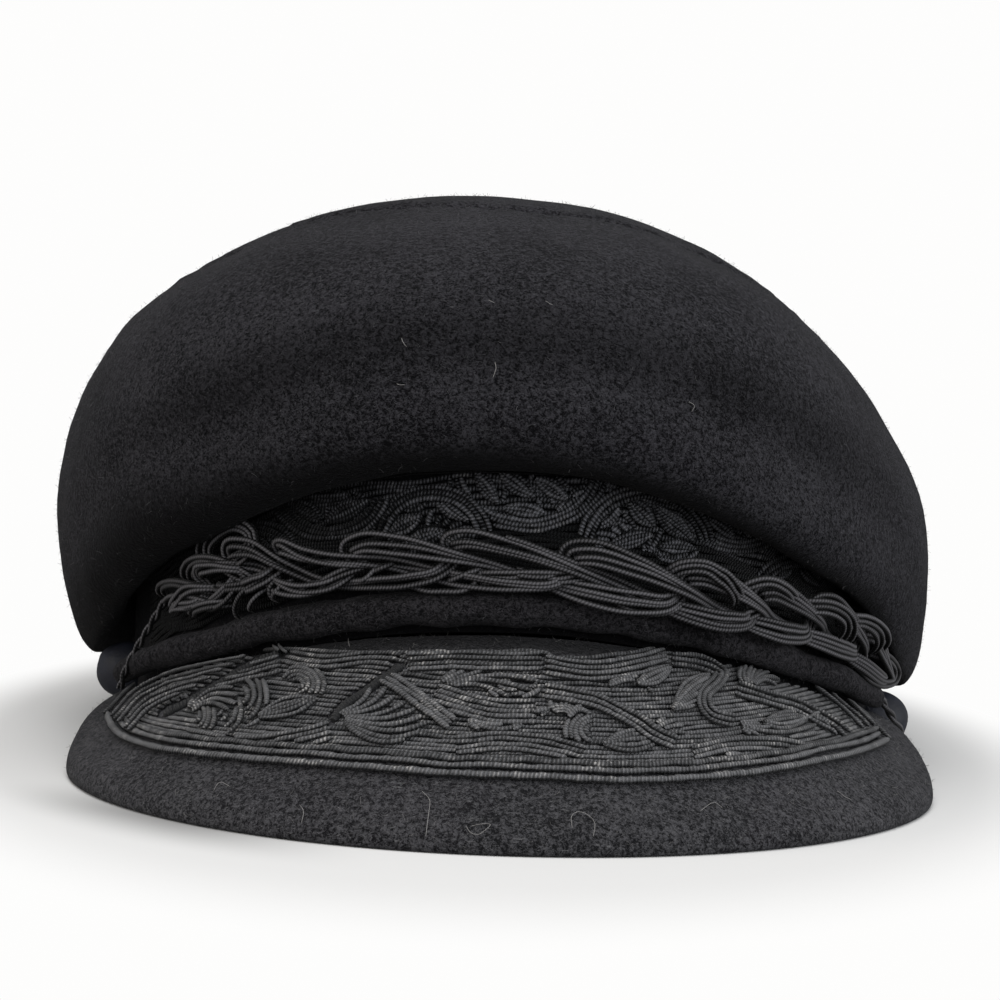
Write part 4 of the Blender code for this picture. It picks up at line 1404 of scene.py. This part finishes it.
# Length of a loose fibre, how far it leans over, in radians, and the thickness of a single light hair
FIBRE_LENGTH = 0.0010
FIBRE_LEAN = 1.35
HAIR_THICK = 0.00009


def fibre_tree():
    """Short bent fibres scattered over the faces that carry the fuzz attribute."""
    graph, given = new_tree("wool_fibres", (
        ("Density", "Float", 60000.0), ("Length", "Float", 0.003), ("Thickness", "Float", 0.00005),
        ("Lean", "Float", 1.2), ("Seed", "Int", 1),
    ))
    scatter = graph.add("GeometryNodeDistributePointsOnFaces", {
        "Mesh": given["Geometry"], "Seed": given["Seed"],
        "Density": graph.times(graph.named("fuzz"), given["Density"]),
    })
    bend = graph.add("GeometryNodeCurveQuadraticBezier", {
        "Resolution": 4, "Start": (0, 0, -0.05), "Middle": (0.22, 0, 0.5), "End": (-0.06, 0.1, 1.0),
    })
    stretch = graph.add("ShaderNodeCombineXYZ", dict.fromkeys("XYZ", given["Length"]))
    long = graph.add("GeometryNodeTransform", {
        "Geometry": bend.outputs["Curve"], "Scale": stretch.outputs["Vector"],
    })
    circle = graph.add("GeometryNodeCurvePrimitiveCircle", {
        "Resolution": 3, "Radius": graph.times(given["Thickness"], 0.5),
    })
    hair = graph.add("GeometryNodeCurveToMesh", {
        "Curve": long.outputs["Geometry"], "Profile Curve": circle.outputs["Curve"], "Fill Caps": True,
    })
    spun = graph.turned(scatter.outputs["Rotation"], (0, 0, 1), graph.random("FLOAT", 0.0, 2 * math.pi, 3))
    lean = graph.times(graph.random("FLOAT", 0.55, 1.0, 4), given["Lean"])
    placed = graph.add("GeometryNodeInstanceOnPoints", {
        "Points": scatter.outputs["Points"], "Instance": hair.outputs["Mesh"],
        "Rotation": graph.turned(spun, (0, 1, 0), lean),
        "Scale": graph.random("FLOAT_VECTOR", (0.5, 0.5, 0.4), (1.2, 1.2, 1.3), 5),
    })
    shade = graph.random("FLOAT", 0.0, 1.0, 6)
    shaded = graph.store(placed.outputs["Instances"], "cord_shade", shade, domain="INSTANCE")
    return end_tree(graph, shaded, given["Finish"])


def make_fibres(name, pieces, slot, material, sizes, share, seed, keep):
    """Fibres over the outer faces of one or more felt pieces, where keep says so."""
    mesh = bpy.data.meshes.new(name)
    work = bmesh.new()
    for piece in pieces:
        work.from_mesh(piece.data)
    work.to_mesh(mesh)
    work.free()
    fuzz = [1.0 if keep(face.center, face.normal) else 0.0 for face in mesh.polygons]
    put_attribute(mesh, "fuzz", fuzz, "FACE")
    made = grow(mesh, fibre_tree(), name, material, Density=sizes.fibre_density * share,
                Length=FIBRE_LENGTH, Thickness=sizes.fibre_thickness, Lean=FIBRE_LEAN, Seed=seed)
    settle(made, slot)


# Single light hairs and lint, in places of the photograph
PEAK_HAIRS = (
    ((422, 792), (430, 803), (429, 818), (426, 837)),
    ((466, 827), (471, 834), (479, 836), (487, 831), (490, 827), (481, 826), (471, 827)),
    ((572, 829), (571, 819), (578, 815), (588, 819), (594, 826), (593, 837)),
    ((349, 640), (350, 648)),
    ((214, 792), (222, 786), (231, 788)),
    ((700, 812), (712, 806), (722, 809)),
    ((836, 792), (842, 800), (851, 801)),
    ((300, 806), (305, 815), (302, 824)),
)
CROWN_HAIRS = (
    ((488, 301), (491, 304), (495, 304)),
    ((397, 384), (401, 386), (405, 385)),
    ((495, 362), (496, 370), (493, 378)),
    ((402, 338), (404, 343), (407, 347)),
    ((545, 302), (548, 306), (553, 306)),
    ((688, 402), (692, 407), (691, 412)),
)


def make_hairs(peak, crown):
    light = fibre_material("light_hairs", (0.07, 0.07, 0.07), (0.15, 0.145, 0.14))
    for name, slot, ground, table in (("peak_hairs", "peak_felt", Ground(peak), PEAK_HAIRS),
                                      ("crown_lint", "crown_felt", Ground(crown), CROWN_HAIRS)):
        runs = []
        for points in table:
            line = smooth_line(points, 1.5)
            lift = 0.00025 + 0.0006 * np.sin(np.linspace(0, math.pi, len(line)))
            runs += [{"points": run, "shade": 0.9} for run in ground.carry(line, lift)]
        settle(lay_cords(name, runs, light, HAIR_THICK, HAIR_THICK, 4), slot)


# Add-on layout

class CapSizes(bpy.types.PropertyGroup):
    """Sizes of the cap's cloth and cords."""

    felt_wave: bpy.props.FloatProperty(
        name="Felt unevenness", description="Height of the soft swells in the crown's felt",
        default=0.0004, unit="LENGTH")
    row_width: bpy.props.FloatProperty(
        name="Row width", description="Width of one couched cord in the embroidery",
        default=0.00112, unit="LENGTH")
    row_depth: bpy.props.FloatProperty(
        name="Row depth", description="Thickness of one couched cord in the embroidery",
        default=0.00090, unit="LENGTH")
    cord_diameter: bpy.props.FloatProperty(
        name="Cord diameter", description="Diameter of the plait's thin cords",
        default=0.00104, unit="LENGTH")
    cords_in_strand: bpy.props.IntProperty(
        name="Cords in a strand", description="Thin cords side by side in each strand of the plait",
        default=4, min=2, max=6)
    fibre_density: bpy.props.FloatProperty(
        name="Fibre density", description="Loose fibres on each square metre of felt",
        default=70000.0)
    fibre_thickness: bpy.props.FloatProperty(
        name="Fibre thickness", description="Thickness of a loose wool fibre",
        default=0.00005, unit="LENGTH")


class CapColours(bpy.types.PropertyGroup):
    """Colours of the cap's felt and cords."""

    felt: bpy.props.FloatVectorProperty(
        name="Felt", description="Dark ground colour of the crown's felt",
        default=(0.0008, 0.0008, 0.0012), size=3, subtype="COLOR", min=0.0, max=1.0)
    felt_light: bpy.props.FloatVectorProperty(
        name="Felt, light parts", description="Colour of the felt where its nap catches light",
        default=(0.0215, 0.0210, 0.0240), size=3, subtype="COLOR", min=0.0, max=1.0)
    fleck: bpy.props.FloatVectorProperty(
        name="Fibres in the felt", description="Colour of single lighter fibres",
        default=(0.040, 0.0395, 0.043), size=3, subtype="COLOR", min=0.0, max=1.0)
    cord: bpy.props.FloatVectorProperty(
        name="Plait cord", description="Colour of the plait's cords",
        default=(0.020, 0.0195, 0.021), size=3, subtype="COLOR", min=0.0, max=1.0)
    worn: bpy.props.FloatVectorProperty(
        name="Worn embroidery", description="Colour of the embroidery's rubbed high places",
        default=(0.30, 0.29, 0.28), size=3, subtype="COLOR", min=0.0, max=1.0)


class CapStage(bpy.types.PropertyGroup):
    """The floor and the lights."""

    floor_size: bpy.props.FloatProperty(
        name="Floor", description="Radius of the pale floor", default=6.0, unit="LENGTH")
    key: bpy.props.FloatProperty(
        name="Top light", description="Strength of the large light overhead", default=11.2)
    side: bpy.props.FloatProperty(
        name="Side light", description="Strength of the light from the left, which the right one follows",
        default=7.0)
    front: bpy.props.FloatProperty(
        name="Front light",
        description="Strength of the soft light from the front", default=16.0)
    room: bpy.props.FloatProperty(
        name="Room light", description="Strength of the even light all round", default=0.51)
    backdrop: bpy.props.FloatProperty(
        name="Backdrop", description="Brightness of the even background", default=0.985)


def made_piece(name):
    piece = bpy.data.objects.get(name)
    if piece is None:
        raise RuntimeError("make %s first" % name)
    return piece


class CAP_OT_crown(bpy.types.Operator):
    """Makes the crown's soft felt, with its puckered top seam."""

    bl_idname = "cap.crown"
    bl_label = "Crown"

    def execute(self, context):
        colours = context.scene.cap_colours
        felt = [tuple(getattr(colours, part)) for part in ("felt", "felt_light", "fleck")]
        make_crown(context.scene.cap_sizes,
                   *(felt_material(name, *felt, nap=1.15, grain=0.075)
                     for name in ("crown_wool", "crown_top_wool")))
        return {"FINISHED"}


class CAP_OT_band(bpy.types.Operator):
    """Makes the band and the padded felt roll on it."""

    bl_idname = "cap.band"
    bl_label = "Band and roll"

    def execute(self, context):
        # The band's felt is kept darker than the crown's, as painted shade behind the plait and under the
        # crown
        band = felt_material("band_wool", (0.0025, 0.0025, 0.003), (0.007, 0.0068, 0.0075),
                             (0.015, 0.015, 0.017))
        make_soft_copy("band", "band_felt", "band_felt", band, height=0.00008, size=0.02, seed=41, crease=60)
        make_roll(felt_material("roll_wool", (0.0012, 0.0012, 0.0015), (0.020, 0.019, 0.021),
                                (0.042, 0.040, 0.044), nap=1.1, grain=0.08))
        return {"FINISHED"}


class CAP_OT_peak(bpy.types.Operator):
    """Makes the felt peak."""

    bl_idname = "cap.peak"
    bl_label = "Peak"

    def execute(self, context):
        make_peak(felt_material("peak_wool", (0.0036, 0.0036, 0.0042), (0.040, 0.0395, 0.0425),
                                (0.085, 0.084, 0.086), nap=1.1, sheen=0.03, grain=0.07))
        return {"FINISHED"}


class CAP_OT_peak_embroidery(bpy.types.Operator):
    """Lays the couched cords over the peak."""

    bl_idname = "cap.peak_embroidery"
    bl_label = "Peak embroidery"

    def execute(self, context):
        worn = tuple(context.scene.cap_colours.worn)
        cord = cord_material("peak_embroidery_cord", (0.005, 0.0053, 0.006), (0.084, 0.084, 0.088), worn,
                             pitch=0.00070, plies=1, relief=0.00030, rough=0.62, wear=1.0)
        make_peak_embroidery(context.scene.cap_sizes, made_piece("peak_felt"), cord)
        return {"FINISHED"}


class CAP_OT_front_embroidery(bpy.types.Operator):
    """Lays the couched cords over the band's front."""

    bl_idname = "cap.front_embroidery"
    bl_label = "Front embroidery"

    def execute(self, context):
        worn = tuple(0.6 * part for part in context.scene.cap_colours.worn)
        # The near-black dark colour is for the painted shade on the cords' sides and on shaded rows
        cord = cord_material("front_embroidery_cord", (0.0005, 0.0006, 0.0009), (0.084, 0.085, 0.094), worn,
                             pitch=0.00068, plies=1, relief=0.00030, rough=0.65, wear=0.45, gloss=0.08,
                             shade_below=0.16)
        make_front_embroidery(context.scene.cap_sizes, made_piece("band_felt"), cord)
        return {"FINISHED"}


class CAP_OT_plait(bpy.types.Operator):
    """Makes the plait of thin cords and the cord ends at its sides."""

    bl_idname = "cap.plait"
    bl_label = "Plait and cord ends"

    def execute(self, context):
        colour = np.array(context.scene.cap_colours.cord)
        # The near-black dark colour and a large share of painted shade on each cord's sides make dark gaps
        # between the cords
        cord = cord_material("plait_cord", tuple(colour * 0.02), tuple(colour * 3.5), tuple(colour * 4.0),
                             pitch=0.0007, plies=2, relief=0.00007, rough=0.5, wear=0.15, gloss=0.10,
                             shade_below=0.30)
        make_plait(context.scene.cap_sizes, cord)
        make_ties(context.scene.cap_sizes, cord)
        return {"FINISHED"}


class CAP_OT_buttons(bpy.types.Operator):
    """Makes the cloth-covered buttons at the temples."""

    bl_idname = "cap.buttons"
    bl_label = "Side buttons"

    def execute(self, context):
        make_buttons(cloth_material("button_cloth", (0.003, 0.0035, 0.006), (0.008, 0.0095, 0.016)))
        return {"FINISHED"}


class CAP_OT_fibres(bpy.types.Operator):
    """Scatters loose wool fibres over the felt."""

    bl_idname = "cap.fibres"
    bl_label = "Loose fibres"

    def execute(self, context):
        sizes = context.scene.cap_sizes
        crown, top, peak, roll = (made_piece(name)
                                  for name in ("crown_body", "crown_top", "peak_felt", "roll_felt"))
        middle = Vector((HEAD_CENTRE.x, HEAD_CENTRE.y, MIDDLE_HEIGHT))
        make_hairs(peak, crown)
        dark = fibre_material("crown_fibres", (0.01, 0.01, 0.011), (0.06, 0.059, 0.062))
        pale = fibre_material("peak_fibres", (0.015, 0.015, 0.016), (0.13, 0.125, 0.12))
        make_fibres("crown_nap", [crown, top], "crown_felt", dark, sizes, 1.2, 5,
                    lambda place, way: way.dot(place - middle) > 0)
        make_fibres("peak_nap", [peak], "peak_felt", pale, sizes, 3.0, 6,
                    lambda place, way: way.z > -0.2 and place.z > 0.0012)
        make_fibres("roll_nap", [roll], "roll_felt", dark, sizes, 2.0, 7,
                    lambda place, way: way.y < 0.2)
        return {"FINISHED"}


# Stage

FLOOR_COLOUR = (0.52, 0.518, 0.514)
FLOOR_GLOW = (0.985, 0.983, 0.977)
# What the floor throws back onto the cap, darker than it looks to the camera
FLOOR_BOUNCE = (0.30, 0.295, 0.29)
# Middle and reach on the floor of the oval round the cap where the floor starts to glow like the backdrop,
# and of the oval along the peak's edge where the shade beside it starts to fade
GLOW_OVAL = ((0.0, 0.02), (0.105, 0.175))
PEAK_OVAL = ((0.0037, -0.045), (0.084, 0.088))
PEAK_FLOOR_SHADE = 0.55
# Where that shade ends towards the right and towards the back: from, to
SHADE_END_X = (-0.055, -0.015)
SHADE_END_Y = (-0.108, -0.072)
# Lights: name, place, height aimed at, size, the stage's strength for it and a share of that, and colour
LIGHTS = (
    ("top_light", (-0.06, -0.35, 1.1), 0.03, 1.1, "key", 1.0, (1.0, 0.99, 0.98)),
    ("left_light", (-1.2, -0.5, 0.3), 0.06, 0.6, "side", 1.0, (1.0, 0.93, 0.85)),
    ("right_light", (1.2, -0.5, 0.3), 0.06, 0.6, "side", 1.6, (0.96, 0.98, 1.0)),
    ("front_light", (0.2, -1.5, 0.6), 0.06, 1.2, "front", 1.0, (0.97, 0.985, 1.0)),
)


def stage_material(name):
    """Pale floor that fades into the even background, with a painted soft shadow by the peak's left edge."""
    material, graph, shader = new_material(name)
    place = graph.place()
    split = graph.add("ShaderNodeSeparateXYZ", {"Vector": place}).outputs
    away = graph.fade(graph.oval(place, *GLOW_OVAL), 1.0, 1.25)
    by_peak = graph.fade(graph.oval(place, *PEAK_OVAL), 1.0, 1.22, PEAK_FLOOR_SHADE, 0.0)
    at_left = graph.times(graph.fade(split["X"], *SHADE_END_X, 1.0, 0.0),
                          graph.fade(split["Y"], *SHADE_END_Y, 1.0, 0.0))
    graph.fill(shader, {
        "Base Color": (*FLOOR_COLOUR, 1.0),
        "Roughness": 0.9,
        "Specular IOR Level": 0.1,
    })
    glow = graph.add("ShaderNodeEmission", {"Color": (*FLOOR_GLOW, 1.0), "Strength": 1.0})
    lit = graph.mix_shader(away, shader.outputs["BSDF"], glow.outputs["Emission"])
    # Painted shadow: a near-black diffuse is mixed in beside the peak's left edge
    shaded = graph.mix_shader(graph.times(by_peak, at_left), lit, graph.diffuse(0.01, 0.01, 0.01))
    seen = graph.mix_shader(graph.seen_by_camera(), graph.diffuse(*FLOOR_BOUNCE), shaded)
    graph.fill(graph.tree.nodes["Material Output"], {"Surface": seen})
    return material


def make_floor(size):
    mesh = bpy.data.meshes.new("floor")
    work = bmesh.new()
    bmesh.ops.create_circle(work, cap_ends=True, radius=size, segments=64)
    work.to_mesh(mesh)
    work.free()
    new_object("floor", mesh, stage_material("pale_floor"))


def make_world(stage):
    """Even light all round, and a nearly white background for the camera alone."""
    world = bpy.data.worlds.new("studio")
    world.use_nodes = True
    graph = Nodes(world.node_tree)
    room = graph.fill(graph.tree.nodes["Background"], {
        "Color": (0.97, 0.985, 1.0, 1.0), "Strength": stage.room,
    })
    backdrop = graph.add("ShaderNodeBackground", {
        "Color": (1.0, 0.997, 0.992, 1.0), "Strength": stage.backdrop,
    })
    seen = graph.mix_shader(graph.seen_by_camera(), room.outputs["Background"],
                            backdrop.outputs["Background"])
    graph.fill(graph.tree.nodes["World Output"], {"Surface": seen})
    bpy.context.scene.world = world


def stand(name, data, place, turn):
    """An object for a light or a camera, in its place."""
    thing = bpy.data.objects.new(name, data)
    thing.location = place
    thing.rotation_mode = "QUATERNION"
    thing.rotation_quaternion = turn
    bpy.context.scene.collection.objects.link(thing)
    return thing


def make_light(name, place, aim_height, size, strength, colour):
    light = bpy.data.lights.new(name, "AREA")
    light.shape = "DISK"
    light.size = size
    light.energy = strength
    light.color = colour
    aim = Vector((0, 0, aim_height)) - Vector(place)
    stand(name, light, place, aim.to_track_quat("-Z", "Y"))


def make_camera():
    data = bpy.data.cameras.new("camera")
    data.lens = LENS
    data.sensor_width = SENSOR
    data.clip_start = 0.01
    data.clip_end = 30.0
    bpy.context.scene.camera = stand("camera", data, EYE, EYE_TURN)


class CAP_OT_stage(bpy.types.Operator):
    """Sets up the pale floor, the soft light and the camera at the photograph's angle."""

    bl_idname = "cap.stage"
    bl_label = "Stage"

    def execute(self, context):
        stage = context.scene.cap_stage
        make_floor(stage.floor_size)
        make_world(stage)
        for name, place, aim_height, size, strength, share, colour in LIGHTS:
            make_light(name, place, aim_height, size, share * getattr(stage, strength), colour)
        make_camera()
        context.scene.view_settings.view_transform = "Standard"
        context.scene.view_settings.look = "None"
        return {"FINISHED"}


class CAP_PT_panel(bpy.types.Panel):
    """Lists the steps that dress the cap."""

    bl_idname = "CAP_PT_panel"
    bl_label = "Fisherman cap"
    bl_space_type = "VIEW_3D"
    bl_region_type = "UI"
    bl_category = "Cap"

    def draw(self, context):
        for group in (context.scene.cap_sizes, context.scene.cap_colours, context.scene.cap_stage):
            box = self.layout.box()
            for name in group.__annotations__:
                box.prop(group, name)
        for operator in OPERATORS:
            self.layout.operator(operator.bl_idname)


OPERATORS = (
    CAP_OT_stage, CAP_OT_crown, CAP_OT_band, CAP_OT_peak, CAP_OT_peak_embroidery,
    CAP_OT_front_embroidery, CAP_OT_plait, CAP_OT_buttons, CAP_OT_fibres,
)
CLASSES = (CapSizes, CapColours, CapStage, *OPERATORS, CAP_PT_panel)


def register():
    for thing in CLASSES:
        bpy.utils.register_class(thing)
    bpy.types.Scene.cap_sizes = bpy.props.PointerProperty(type=CapSizes)
    bpy.types.Scene.cap_colours = bpy.props.PointerProperty(type=CapColours)
    bpy.types.Scene.cap_stage = bpy.props.PointerProperty(type=CapStage)


def unregister():
    del bpy.types.Scene.cap_stage
    del bpy.types.Scene.cap_colours
    del bpy.types.Scene.cap_sizes
    for thing in reversed(CLASSES):
        bpy.utils.unregister_class(thing)


def main():
    register()
    bpy.ops.cap.stage()
    bpy.ops.cap.crown()
    bpy.ops.cap.band()
    bpy.ops.cap.peak()
    bpy.ops.cap.peak_embroidery()
    bpy.ops.cap.front_embroidery()
    bpy.ops.cap.plait()
    bpy.ops.cap.buttons()
    bpy.ops.cap.fibres()


if __name__ == "__main__":
    main()
